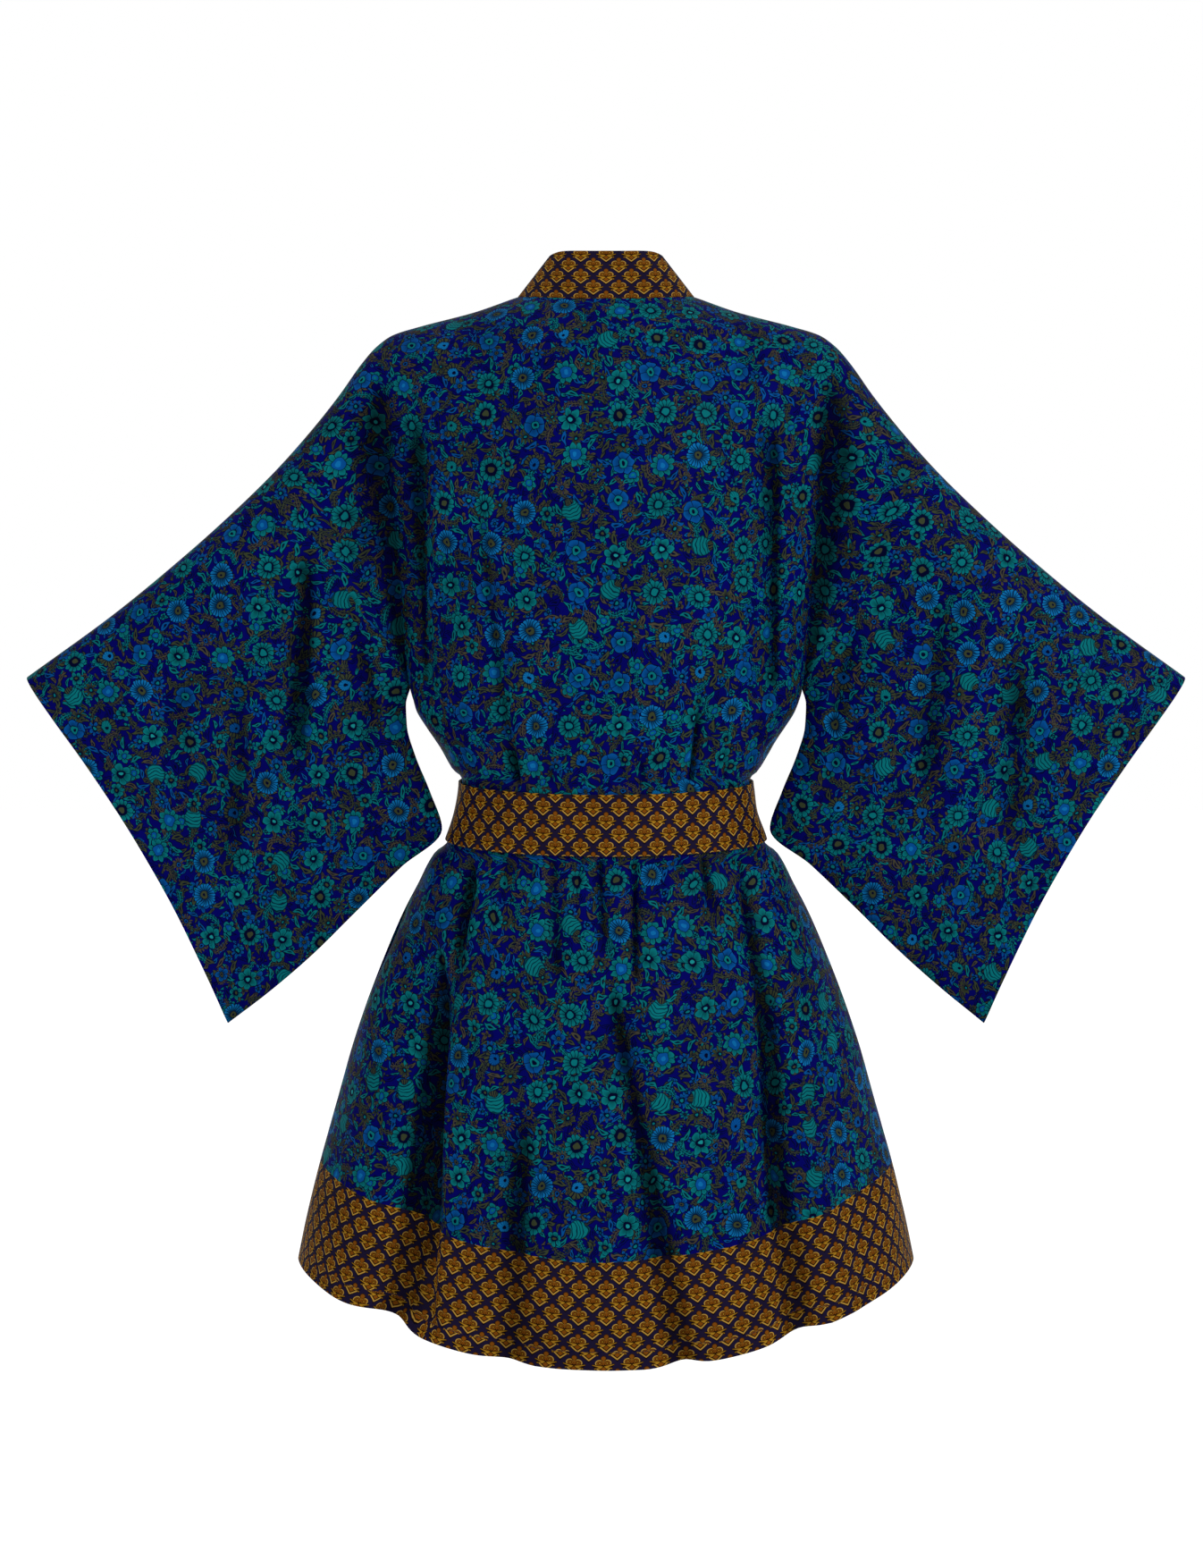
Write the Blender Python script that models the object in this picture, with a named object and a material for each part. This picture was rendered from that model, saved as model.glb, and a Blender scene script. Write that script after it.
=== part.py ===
"""A short kimono robe, belted at the waist and hanging as it is worn, with no wearer inside.

Metres, +Z up. The robe's front faces -Y and the wearer's left is +X. The origin lies in the
middle of the neck hole, at the height where the neck meets the shoulders.

Each piece of cloth is a wall round a middle surface. The body is a stack of rings, half as wide
as the outline at each height, with its own depth behind and in front. Above the underarm the
rings open towards the arms: there the cloth rises to the shoulder line and runs out to a
straight armhole seam, where the sleeve takes over with the same section.
"""

import math

import bpy
import numpy as np

# Cloth
WALL = 0.0015
SASH_WALL = 0.0020
SEAM_GAP = 0.0003
LAYER = 0.0028

# Neck and shoulders
NECK_X = 0.0734
NECK_HEIGHT = -0.0020
NECK_BACK_HEIGHT = -0.0050
SHOULDER_ROUNDING = 0.100
ARM_ROUNDING = 0.075
ROUNDING_CHANGES_FROM = 0.100
ROUNDING_CHANGES_OVER = 0.150
ARM_BEGINS = 0.080
ARM_BLENDS_OVER = 0.085
SHOULDER_FREE_OF_FOLDS = 0.050

# Armhole seam and sleeve, on the wearer's left
ARMHOLE_TOP = (0.2770, -0.1458)
UNDERARM = (0.1660, -0.3290)
SLEEVE_CORNER = (0.1400, -0.4500)
SLEEVE_CORNER_ALONG = 0.38
CUFF_TOP = (0.4905, -0.3213)
CUFF_BOTTOM = (0.3240, -0.6175)
CUFF_HOLLOW = 0.0145
UNDERSIDE_RISE = {"left": 0.0, "right": 0.0030}
ARM_DEPTH_AT_ARMHOLE = 0.046
ARM_DEPTH_AT_CUFF = 0.034
ARM_THINS_BY = 0.3
ARM_SECTION_POWER = 0.65
SLEEVE_EDGE_FREE = 0.15
SLEEVE_SEAM_FREE = 0.10

# Heights of the sash and of the hem band at the side seams, and how far they drop at the middle
SASH_TOP = -0.4080
SASH_BOTTOM = -0.4555
SASH_TOP_SAG = 0.0030
SASH_BOTTOM_SAG = 0.0060
SASH_CLEARANCE = 0.0007
HEM_SEAM = -0.7340
HEM = -0.8215
HEM_SEAM_DROP = {"back": 0.0540, "front": 0.0420}
HEM_DROP = {"back": 0.0555, "front": 0.0450}
HEM_LIFT_IN_FOLD = 0.35

# The left front lies over the right one: the height and x where its layer begins and ends
LAYER_BEGINS = -0.050
LAYER_GROWS_OVER = 0.090
LAYER_END = 0.120
LAYER_RUN = 0.050
SASH_LAYER_END = {"left": (0.125, 0.050), "right": (0.105, 0.035)}

# Neckband
BAND = 0.0480
BAND_GAP = 0.0006
BAND_LEAN_BACK = math.radians(33)
BAND_LEAN_SIDE = math.radians(38)
BAND_LIES_FLAT_BELOW = -0.090
BAND_LEVEL_BELOW = -0.360
BAND_LEVELS_OVER = 0.100
NECK_AXIS_Y = -0.005

# Sash knot and tails
KNOT_X = 0.004
KNOT_GAP = 0.0005
KNOT_WIDTH = 0.060
KNOT_DEPTH = 0.022
KNOT_SQUARENESS = 0.7
KNOT_SHARE_OF_SASH = 0.97
KNOT_RINGS = (0.30, 0.60, 0.82, 0.95)
KNOT_BACK_RING = 0.55
KNOT_WRAP_WIDTH = 0.038
KNOT_WRAP_EDGE = 0.006
KNOT_WRAP_DEPTH = 0.004
KNOT_PLEATS = 9
KNOT_PLEAT_DEPTH = 0.0012
TAIL_GAP = 0.0005
TAIL_WIDTH = 0.050
TAIL_WIDTH_AT_KNOT = 0.027
TAIL_SPREAD = 0.070
TAIL_PLEAT_DEPTH = 0.0030
TAIL_SWAY = 0.004
TAIL_CLEARANCE = 0.0016

# Directions and sides
UP = np.array([0.0, 0.0, 1.0])
FORE_AND_AFT = np.array([0.0, 1.0, 0.0])
SIGN = {"left": 1.0, "right": -1.0}

# Grid sizes
BACK_COLUMNS = 46
NECK_COLUMNS = 12
FRONT_COLUMNS = 18
SASH_COLUMNS = 64
SASH_ROWS = 3
HEM_ROWS = 3
BAND_STRIPS = 3
KNOT_SPOKES = 24
TAIL_COLUMNS = 6
TAIL_ROWS = 12


def table(columns, *rows):
    """A table as one array for each named column."""
    return dict(zip(columns.split(), np.array(rows, float).T))


# Outer shape of the body at each height: half its width, and its depth behind and in front
BODY = table(
    "height half_width back_depth front_depth",
    (0.0500, 0.2000, 0.0860, 0.0700),
    (-0.0600, 0.1920, 0.1000, 0.0890),
    (-0.1300, 0.1860, 0.1075, 0.1085),
    (-0.2000, 0.1790, 0.1095, 0.1210),
    (-0.2600, 0.1730, 0.1075, 0.1220),
    (-0.3290, 0.1660, 0.1040, 0.1150),
    (-0.3470, 0.1605, 0.1025, 0.1125),
    (-0.3625, 0.1515, 0.1012, 0.1100),
    (-0.3800, 0.1405, 0.0995, 0.1070),
    (-0.3975, 0.1306, 0.0975, 0.1030),
    (-0.4070, 0.1220, 0.0930, 0.0965),
    (-0.4180, 0.1230, 0.0941, 0.0976),
    (-0.4320, 0.1250, 0.0955, 0.0990),
    (-0.4570, 0.1333, 0.0985, 0.1020),
    (-0.4625, 0.1352, 0.0994, 0.1030),
    (-0.4717, 0.1460, 0.1070, 0.1090),
    (-0.4986, 0.1605, 0.1165, 0.1160),
    (-0.5217, 0.1725, 0.1225, 0.1205),
    (-0.5564, 0.1875, 0.1300, 0.1260),
    (-0.5990, 0.2040, 0.1375, 0.1320),
    (-0.6377, 0.2170, 0.1435, 0.1370),
    (-0.6765, 0.2280, 0.1490, 0.1420),
    (-0.7116, 0.2380, 0.1540, 0.1465),
    (-0.7450, 0.2472, 0.1580, 0.1500),
    (-0.7890, 0.2580, 0.1630, 0.1540),
    (-0.8275, 0.2660, 0.1670, 0.1580),
)

# Line of the shoulder and of the sleeve's top, from the middle of the neck to the cuff
TOP_LINE = table(
    "x height",
    (0.0000, 0.0120),
    (0.0400, 0.0085),
    (NECK_X, NECK_HEIGHT),
    (0.1100, -0.0147),
    (0.1560, -0.0267),
    (0.1785, -0.0337),
    (0.1920, -0.0430),
    (0.2045, -0.0570),
    (0.2240, -0.0840),
    (0.2470, -0.1125),
    (ARMHOLE_TOP[0], ARMHOLE_TOP[1]),
    (0.3160, -0.1835),
    (0.3550, -0.2180),
    (0.4145, -0.2665),
    (CUFF_TOP[0], CUFF_TOP[1]),
)

# Seam between a front panel and the neckband, on the wearer's left
FRONT_EDGE = table(
    "height x",
    (NECK_HEIGHT, NECK_X),
    (-0.0500, 0.0850),
    (-0.1000, 0.0830),
    (-0.1600, 0.0705),
    (-0.2200, 0.0525),
    (-0.2800, 0.0315),
    (-0.3290, 0.0140),
    (-0.4070, -0.0100),
    (-0.4570, -0.0160),
    (-0.5500, -0.0145),
    (-0.7450, -0.0120),
    (-0.8275, -0.0105),
)

# Sleeve's lower outline, from the underarm round its corner to the cuff
SLEEVE_UNDERSIDE = table(
    "along x height",
    (0.00, UNDERARM[0], UNDERARM[1]),
    (0.05, 0.1702, -0.3440),
    (0.12, 0.1694, -0.3630),
    (0.20, 0.1628, -0.3870),
    (0.29, 0.1500, -0.4190),
    (SLEEVE_CORNER_ALONG, SLEEVE_CORNER[0], SLEEVE_CORNER[1]),
    (0.50, 0.1750, -0.4830),
    (0.63, 0.2130, -0.5205),
    (0.76, 0.2520, -0.5590),
    (0.88, 0.2880, -0.5900),
    (1.00, CUFF_BOTTOM[0], CUFF_BOTTOM[1]),
)

# Folds: where the crease starts and ends, its width there, how deep it is (negative) or how proud,
# and the lengths over which it grows and fades
FOLD_COLUMNS = "x_top z_top x_end z_end width_top width_end depth grow fade"
BACK_FOLDS = table(
    FOLD_COLUMNS,
    (0.153, -0.090, 0.148, -0.350, 0.011, 0.012, -0.0065, 0.060, 0.040),
    (0.109, -0.120, 0.076, -0.405, 0.008, 0.007, -0.0035, 0.080, 0.008),
    (0.081, -0.365, 0.074, -0.406, 0.007, 0.006, -0.0055, 0.020, 0.007),
    (0.047, -0.375, 0.045, -0.406, 0.008, 0.006, -0.0045, 0.020, 0.007),
    (0.012, -0.385, 0.014, -0.406, 0.008, 0.006, -0.0030, 0.015, 0.007),
    (-0.030, -0.370, -0.033, -0.406, 0.008, 0.006, -0.0045, 0.020, 0.007),
    (-0.080, -0.335, -0.073, -0.406, 0.006, 0.006, -0.0060, 0.025, 0.007),
    (-0.104, -0.360, -0.100, -0.406, 0.008, 0.006, -0.0040, 0.020, 0.007),
    (-0.138, -0.090, -0.136, -0.350, 0.013, 0.014, -0.0050, 0.060, 0.040),
    (0.081, -0.462, 0.084, -0.500, 0.006, 0.009, -0.0050, 0.007, 0.020),
    (0.043, -0.462, 0.039, -0.580, 0.006, 0.012, -0.0055, 0.007, 0.040),
    (0.004, -0.462, -0.001, -0.560, 0.006, 0.012, -0.0070, 0.007, 0.040),
    (-0.025, -0.462, -0.026, -0.585, 0.006, 0.007, -0.0045, 0.007, 0.030),
    (-0.061, -0.462, -0.066, -0.490, 0.006, 0.007, -0.0040, 0.007, 0.015),
    (-0.082, -0.462, -0.096, -0.530, 0.006, 0.009, -0.0065, 0.007, 0.030),
    (-0.112, -0.462, -0.122, -0.520, 0.006, 0.008, -0.0040, 0.007, 0.030),
    (0.112, -0.462, 0.186, -0.870, 0.008, 0.026, -0.0110, 0.030, 0.001),
    (0.001, -0.530, -0.066, -0.880, 0.010, 0.018, -0.0080, 0.080, 0.001),
    (0.060, -0.600, 0.083, -0.880, 0.014, 0.020, -0.0060, 0.120, 0.001),
    (-0.120, -0.480, -0.165, -0.870, 0.010, 0.022, -0.0090, 0.040, 0.001),
    (0.022, -0.640, 0.014, -0.880, 0.020, 0.026, 0.0060, 0.120, 0.001),
    (-0.150, -0.640, -0.204, -0.850, 0.012, 0.014, 0.0050, 0.100, 0.001),
)
FRONT_FOLDS = {
    "left": table(
        FOLD_COLUMNS,
        (0.150, -0.110, 0.143, -0.350, 0.011, 0.012, -0.0060, 0.060, 0.040),
        (0.128, -0.110, 0.095, -0.405, 0.012, 0.008, -0.0045, 0.080, 0.008),
        (0.103, -0.170, 0.077, -0.405, 0.009, 0.006, -0.0030, 0.080, 0.008),
        (0.110, -0.360, 0.108, -0.406, 0.008, 0.006, -0.0050, 0.020, 0.007),
        (0.082, -0.459, 0.086, -0.530, 0.006, 0.010, -0.0050, 0.007, 0.030),
        (0.103, -0.459, 0.113, -0.570, 0.006, 0.012, -0.0055, 0.007, 0.040),
        (0.108, -0.540, 0.150, -0.860, 0.014, 0.024, -0.0090, 0.060, 0.001),
        (0.135, -0.560, 0.205, -0.850, 0.012, 0.016, 0.0050, 0.100, 0.001),
    ),
    "right": table(
        FOLD_COLUMNS,
        (0.143, -0.110, 0.139, -0.350, 0.012, 0.012, -0.0055, 0.060, 0.040),
        (0.121, -0.120, 0.092, -0.405, 0.012, 0.008, -0.0040, 0.080, 0.008),
        (0.109, -0.210, 0.079, -0.405, 0.009, 0.007, -0.0030, 0.070, 0.008),
        (0.092, -0.459, 0.097, -0.540, 0.006, 0.010, -0.0055, 0.007, 0.030),
        (0.114, -0.459, 0.128, -0.550, 0.006, 0.010, -0.0050, 0.007, 0.040),
        (0.098, -0.550, 0.128, -0.860, 0.012, 0.020, -0.0080, 0.060, 0.001),
        (0.150, -0.540, 0.190, -0.850, 0.014, 0.022, -0.0070, 0.080, 0.001),
    ),
}
SLEEVE_FOLDS = {
    "left": table(
        FOLD_COLUMNS,
        (0.243, -0.170, 0.262, -0.420, 0.012, 0.020, -0.0060, 0.060, 0.080),
        (0.212, -0.230, 0.190, -0.400, 0.010, 0.012, -0.0050, 0.050, 0.060),
        (0.300, -0.260, 0.318, -0.520, 0.016, 0.022, -0.0040, 0.080, 0.080),
        (0.370, -0.290, 0.345, -0.480, 0.018, 0.018, -0.0030, 0.060, 0.080),
    ),
    "right": table(
        FOLD_COLUMNS,
        (0.246, -0.170, 0.198, -0.260, 0.009, 0.010, -0.0050, 0.030, 0.030),
        (0.212, -0.230, 0.188, -0.400, 0.010, 0.012, -0.0045, 0.050, 0.060),
        (0.282, -0.220, 0.270, -0.460, 0.016, 0.020, -0.0050, 0.080, 0.080),
        (0.350, -0.290, 0.338, -0.500, 0.018, 0.020, -0.0035, 0.060, 0.080),
    ),
}

# Steps down the armhole, close together where the cloth turns over the shoulder
ARMHOLE_STEPS = np.array([0.0, 0.006, 0.028, 0.065, 0.12, 0.20, 0.31, 0.44, 0.59, 0.75, 0.88, 1.0])
# Steps down a sleeve, from its top to the fold or seam below
SLEEVE_STEPS = np.array([0.0, 0.010, 0.045, 0.11, 0.20, 0.30, 0.41, 0.53, 0.66, 0.79, 0.90, 0.97, 1.0])
# Heights of the rows below the underarm, down to the hem band's seam
LOWER_HEIGHTS = np.array([
    -0.345, -0.362, -0.380, -0.394, -0.4015, -0.4072, -0.432, -0.4570, -0.4625,
    -0.473, -0.497, -0.525, -0.565, -0.615, -0.665, -0.710, HEM_SEAM,
])
HEM_HEIGHTS = np.linspace(HEM_SEAM, HEM, HEM_ROWS + 1)

# Sash tails: where each leaves the knot, where it ends, and how its end is cut
TAILS = {
    "left": {"x_top": 0.0200, "x_open": 0.0340, "x_end": 0.0440, "z_end": -0.7800, "slant": 0.016},
    "right": {"x_top": -0.0120, "x_open": -0.0240, "x_end": -0.0320, "z_end": -0.7280, "slant": -0.014},
}

# Colour and roughness of the two printed satins
SATINS = {
    "floral_satin": {"colour": (0.004, 0.030, 0.110, 1.0), "roughness": 0.42},
    "gold_satin": {"colour": (0.130, 0.062, 0.012, 1.0), "roughness": 0.45},
}


def smoothstep(value):
    """0 below 0, 1 above 1 and a soft S between."""
    part = np.clip(value, 0.0, 1.0)
    return part * part * (3.0 - 2.0 * part)


def curve(keys, values, at):
    """Smooth curve through a table's points: a cubic between each two that never passes them by.

    The slope at a point is the harmonic mean of the slopes to its neighbours, and level where
    these differ in sign. Past the ends the curve is level.
    """
    order = np.argsort(keys)
    keys = keys[order]
    values = values[order]
    secants = np.diff(values) / np.diff(keys)
    product = secants[1:] * secants[:-1]
    total = secants[1:] + secants[:-1]
    inner = np.where(product > 0.0, 2.0 * product / np.where(product > 0.0, total, 1.0), 0.0)
    slopes = np.concatenate([secants[:1], inner, secants[-1:]])
    first = np.clip(np.searchsorted(keys, at) - 1, 0, len(keys) - 2)
    step = keys[first + 1] - keys[first]
    part = np.clip((at - keys[first]) / step, 0.0, 1.0)
    rest = 1.0 - part
    return (
        rest * rest * (1.0 + 2.0 * part) * values[first]
        + part * part * (3.0 - 2.0 * part) * values[first + 1]
        + rest * rest * part * step * slopes[first]
        - part * part * rest * step * slopes[first + 1]
    )


def body_shape(height, side):
    """Half the width, and the depth on one side, of the body at a height."""
    return curve(BODY["height"], BODY["half_width"], height), curve(BODY["height"], BODY[side + "_depth"], height)


def front_edge(height):
    """x of the seam between the left front and the neckband."""
    return curve(FRONT_EDGE["height"], FRONT_EDGE["x"], height)


def top_line(x):
    """Height of the shoulder and sleeve line at x."""
    return curve(TOP_LINE["x"], TOP_LINE["height"], np.abs(x))


def neck_height(x):
    """Height of the neckband's seam across the back of the neck."""
    return NECK_BACK_HEIGHT + (NECK_HEIGHT - NECK_BACK_HEIGHT) * (x / NECK_X) ** 2


def rise(x, z):
    """Share of its full depth that the cloth has reached below the shoulder line: a quarter round."""
    towards_arm = smoothstep((np.abs(x) - ROUNDING_CHANGES_FROM) / ROUNDING_CHANGES_OVER)
    rounding = SHOULDER_ROUNDING + (ARM_ROUNDING - SHOULDER_ROUNDING) * towards_arm
    left = 1.0 - np.clip((top_line(x) - z) / rounding, 0.0, 1.0)
    return np.sqrt(1.0 - left * left)


def torso_depth(x, z, side):
    """Depth of the body's ring at x and height z: an ellipse of that height's width and depth."""
    half_width, depth = body_shape(z, side)
    return depth * np.sqrt(np.clip(1.0 - (x / half_width) ** 2, 0.0, None))


def arm_depth(x, down):
    """Depth of the cloth over an arm: full under the top line, thin and then closed at `down` = 1."""
    outwards = np.clip((np.abs(x) - ARMHOLE_TOP[0]) / (CUFF_TOP[0] - ARMHOLE_TOP[0]), 0.0, 1.0)
    full = ARM_DEPTH_AT_ARMHOLE + (ARM_DEPTH_AT_CUFF - ARM_DEPTH_AT_ARMHOLE) * outwards
    return full * (1.0 - down * down) ** ARM_SECTION_POWER * (1.0 - ARM_THINS_BY * down)


def cloth_depth(x, z, side, down):
    """Depth of the body's cloth: torso and arm run into each other softly and rise from the top line."""
    arm = arm_depth(x, down) * smoothstep((np.abs(x) - ARM_BEGINS) / ARM_BLENDS_OVER)
    torso = torso_depth(x, z, side)
    return rise(x, z) * np.cbrt(torso**3 + arm**3)


def relief(folds, x, z):
    """How far the folds move the cloth outwards: each is a soft trough or ridge along its line."""
    total = np.zeros(np.broadcast(x, z).shape)
    for x_top, z_top, x_end, z_end, width_top, width_end, depth, grow, fade in zip(*folds.values()):
        length = z_top - z_end
        along = (z_top - z) / length
        centre = x_top + (x_end - x_top) * along
        width = width_top + (width_end - width_top) * np.clip(along, 0.0, 1.0)
        strength = smoothstep(along * length / grow) * smoothstep((1.0 - along) * length / fade)
        total += depth * strength * np.exp(-(((x - centre) / width) ** 2))
    return total


def unit(vectors):
    """Vectors made one long."""
    return vectors / np.linalg.norm(vectors, axis=-1, keepdims=True)


def surface_normals(grid, ring=False):
    """Normal at each grid point, square to its row and its column."""
    down = np.gradient(grid, axis=0)
    if ring:
        across = np.roll(grid, -1, axis=1) - np.roll(grid, 1, axis=1)
    else:
        across = np.gradient(grid, axis=1)
    return unit(np.cross(down, across))


def lie_in_plane(normals, plane):
    """Normals turned into a seam's plane, so that the wall's edge there is cut along the seam."""
    return unit(normals - (normals @ plane)[..., None] * plane)


def armhole_normal(side):
    """Unit vector across the armhole seam, away from the body."""
    along = np.array([UNDERARM[0] - ARMHOLE_TOP[0], 0.0, UNDERARM[1] - ARMHOLE_TOP[1]])
    return unit(np.array([-along[2] * SIGN[side], 0.0, along[0]]))


def wall(name, grid, normals, satin, thickness=WALL, ring=False):
    """A closed wall of cloth round a grid of points, half its thickness to each side."""
    rows, columns = grid.shape[:2]
    near = grid + normals * thickness / 2
    far = grid - normals * thickness / 2
    points = np.concatenate([near.reshape(-1, 3), far.reshape(-1, 3)])
    index = np.arange(rows * columns).reshape(rows, columns)
    if ring:
        index = np.concatenate([index, index[:, :1]], axis=1)
    to_far = rows * columns
    faces = []
    for row in range(rows - 1):
        for column in range(index.shape[1] - 1):
            a, b = index[row, column], index[row, column + 1]
            d, c = index[row + 1, column], index[row + 1, column + 1]
            faces.append((a, d, c, b))
            faces.append((a + to_far, b + to_far, c + to_far, d + to_far))
    rims = [index[0], index[-1][::-1]]
    if not ring:
        rims += [index[::-1, 0], index[:, -1]]
    for rim in rims:
        for a, b in zip(rim[:-1], rim[1:]):
            faces.append((a, b, b + to_far, a + to_far))
    return add_object(name, points, faces, satin)


def add_object(name, points, faces, satin):
    """One named object of points and faces, smooth shaded but for its cut edges."""
    mesh = bpy.data.meshes.new(name)
    mesh.from_pydata(points.tolist(), [], [tuple(int(corner) for corner in face) for face in faces])
    mesh.update()
    mesh.shade_smooth()
    mesh.set_sharp_from_angle(angle=math.radians(50))
    material = bpy.data.materials.new(name + "_" + satin)
    material.use_nodes = True
    shader = material.node_tree.nodes["Principled BSDF"]
    shader.inputs["Base Color"].default_value = SATINS[satin]["colour"]
    shader.inputs["Roughness"].default_value = SATINS[satin]["roughness"]
    shader.inputs["Metallic"].default_value = 0.0
    mesh.materials.append(material)
    item = bpy.data.objects.new(name, mesh)
    bpy.context.scene.collection.objects.link(item)
    return item


def hem_drop(side, level, turn):
    """How far a row hangs below its level at the side seam: nothing at the sash, most at the hem."""
    to_seam = np.clip((SASH_BOTTOM - level) / (SASH_BOTTOM - HEM_SEAM), 0.0, 1.0)
    past_seam = np.clip((HEM_SEAM - level) / (HEM_SEAM - HEM), 0.0, 1.0)
    drop = HEM_SEAM_DROP[side] * to_seam**1.5 + (HEM_DROP[side] - HEM_SEAM_DROP[side]) * past_seam
    return drop * np.cos(turn) ** 2


def no_layer(x):
    """The back and the right front lie on the body's own surface."""
    return np.zeros_like(x)


def left_layer(x):
    """The left front lies over the right one, so it stands out where the two overlap."""
    return LAYER * smoothstep((LAYER_END - x) / LAYER_RUN)


def lower_rows(levels, turns, side, folds, layer):
    """Rows below the underarm. `turns` are angles round the ring, 0 at the middle, a quarter turn at a side."""
    level = levels[:, None]
    half_width, depth = body_shape(level, side)
    facing = 1.0 if side == "back" else -1.0
    x = half_width * np.sin(turns)
    y = depth * np.cos(turns)
    z = level - hem_drop(side, level, turns)
    out = unit(np.stack([np.sin(turns) / half_width, np.cos(turns) / depth], axis=-1))
    moved = relief(folds, x, z)
    z = z + HEM_LIFT_IN_FOLD * np.abs(moved) * np.clip((HEM_SEAM - level) / (HEM_SEAM - HEM), 0.0, 1.0)
    moved = moved + layer(x)
    return np.stack([x + moved * out[..., 0], facing * (y + moved * out[..., 1]), z], axis=-1)


def back_columns():
    """For each column of the back: where it starts, its turn below, and whether it starts at the neck."""
    place = np.linspace(-1.0, 1.0, BACK_COLUMNS + 1)
    neck_share = NECK_COLUMNS / BACK_COLUMNS
    in_neck = np.abs(place) <= neck_share + 1e-9
    past_neck = (np.abs(place) - neck_share) / (1.0 - neck_share)
    x = np.where(
        in_neck,
        NECK_X * np.sin(np.clip(place / neck_share, -1.0, 1.0) * math.pi / 2),
        np.sign(place) * (NECK_X + (ARMHOLE_TOP[0] - NECK_X) * past_neck),
    )
    z = np.where(in_neck, neck_height(x), top_line(x))
    return x, z, place * math.pi / 2, in_neck


def back_grid():
    """Middle surface of the back panel, and of its hem band."""
    x_top, z_top, turns, _ = back_columns()
    step = ARMHOLE_STEPS[:, None]
    x = x_top + (UNDERARM[0] * np.sin(turns) - x_top) * step
    z = z_top + (UNDERARM[1] - z_top) * step
    folds = relief(BACK_FOLDS, x, z) * smoothstep((top_line(x) - z) / SHOULDER_FREE_OF_FOLDS)
    y = cloth_depth(x, z, "back", step) + folds
    upper = np.stack([x, y, z], axis=-1)
    lower = lower_rows(LOWER_HEIGHTS, turns, "back", BACK_FOLDS, no_layer)
    hem = lower_rows(HEM_HEIGHTS, turns, "back", BACK_FOLDS, no_layer)
    return np.concatenate([upper, lower]), hem


def front_rows(levels, side):
    """Rows of a front below the underarm, from the side seam to the neckband's seam."""
    half_width, _ = body_shape(levels, "front")
    at_edge = np.arcsin(front_edge(levels) / half_width)[:, None]
    turns = math.pi / 2 + (at_edge - math.pi / 2) * np.linspace(0.0, 1.0, FRONT_COLUMNS + 1)
    layer = left_layer if side == "left" else no_layer
    grid = lower_rows(levels, turns, "front", FRONT_FOLDS[side], layer)
    return grid * np.array([SIGN[side], 1.0, 1.0])


def front_grid(side):
    """Middle surface of a front panel and its hem band: first column at the side, last at the neckband."""
    layer = left_layer if side == "left" else no_layer
    place = np.linspace(0.0, 1.0, FRONT_COLUMNS + 1)
    step = ARMHOLE_STEPS[:, None]
    x_top = ARMHOLE_TOP[0] + (NECK_X - ARMHOLE_TOP[0]) * place
    turn_at_edge = math.asin(front_edge(UNDERARM[1]) / UNDERARM[0])
    x_low = UNDERARM[0] * np.sin(math.pi / 2 + (turn_at_edge - math.pi / 2) * place)
    x = x_top + (x_low - x_top) * step
    z = top_line(x_top) + (UNDERARM[1] - top_line(x_top)) * step
    x = x + (front_edge(z[:, -1:]) - x[:, -1:]) * place
    moved = relief(FRONT_FOLDS[side], x, z) * smoothstep((top_line(x) - z) / SHOULDER_FREE_OF_FOLDS)
    moved = moved + layer(x) * smoothstep((LAYER_BEGINS - z) / LAYER_GROWS_OVER)
    y = -cloth_depth(x, z, "front", step) - moved
    upper = np.stack([SIGN[side] * x, y, z], axis=-1)
    return np.concatenate([upper, front_rows(LOWER_HEIGHTS, side)]), front_rows(HEM_HEIGHTS, side)


def part_at_seams(panel, hem, at_sides, facing):
    """Move a panel's edges and its hem band half a seam gap back from each seam."""
    half = SEAM_GAP / 2
    underarm = len(ARMHOLE_STEPS) - 1
    for column, side in at_sides:
        panel[:underarm + 1, column] -= armhole_normal(side) * half
        panel[underarm, column] -= armhole_normal(side) * WALL / 2
    panel[-1, :, 2] += half
    hem[0, :, 2] -= half
    for grid in (panel, hem):
        grid[..., 1] = facing * np.maximum(facing * grid[..., 1], half)


def panel_normals(grid, at_sides, on_shoulder):
    """Normals of a body panel, turned into the planes of its seams."""
    normals = surface_normals(grid)
    underarm = len(ARMHOLE_STEPS) - 1
    normals[0, on_shoulder] = lie_in_plane(normals[0, on_shoulder], FORE_AND_AFT)
    for column, side in at_sides:
        normals[:underarm, column] = lie_in_plane(normals[:underarm, column], armhole_normal(side))
        normals[underarm:, column] = lie_in_plane(normals[underarm:, column], FORE_AND_AFT)
    normals[-1] = lie_in_plane(normals[-1], UP)
    return normals


def hem_normals(grid, at_sides):
    """Normals of a hem band, level at its seam and square to the side seams."""
    normals = surface_normals(grid)
    normals[0] = lie_in_plane(normals[0], UP)
    for column, _ in at_sides:
        normals[:, column] = lie_in_plane(normals[:, column], FORE_AND_AFT)
    return normals


def make_back():
    """Back panel and its hem band."""
    panel, hem = back_grid()
    at_sides = [(0, "right"), (-1, "left")]
    part_at_seams(panel, hem, at_sides, facing=1.0)
    _, _, _, in_neck = back_columns()
    wall("back", panel, panel_normals(panel, at_sides, ~in_neck), "floral_satin")
    wall("hem_back", hem, hem_normals(hem, at_sides), "gold_satin")


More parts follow.
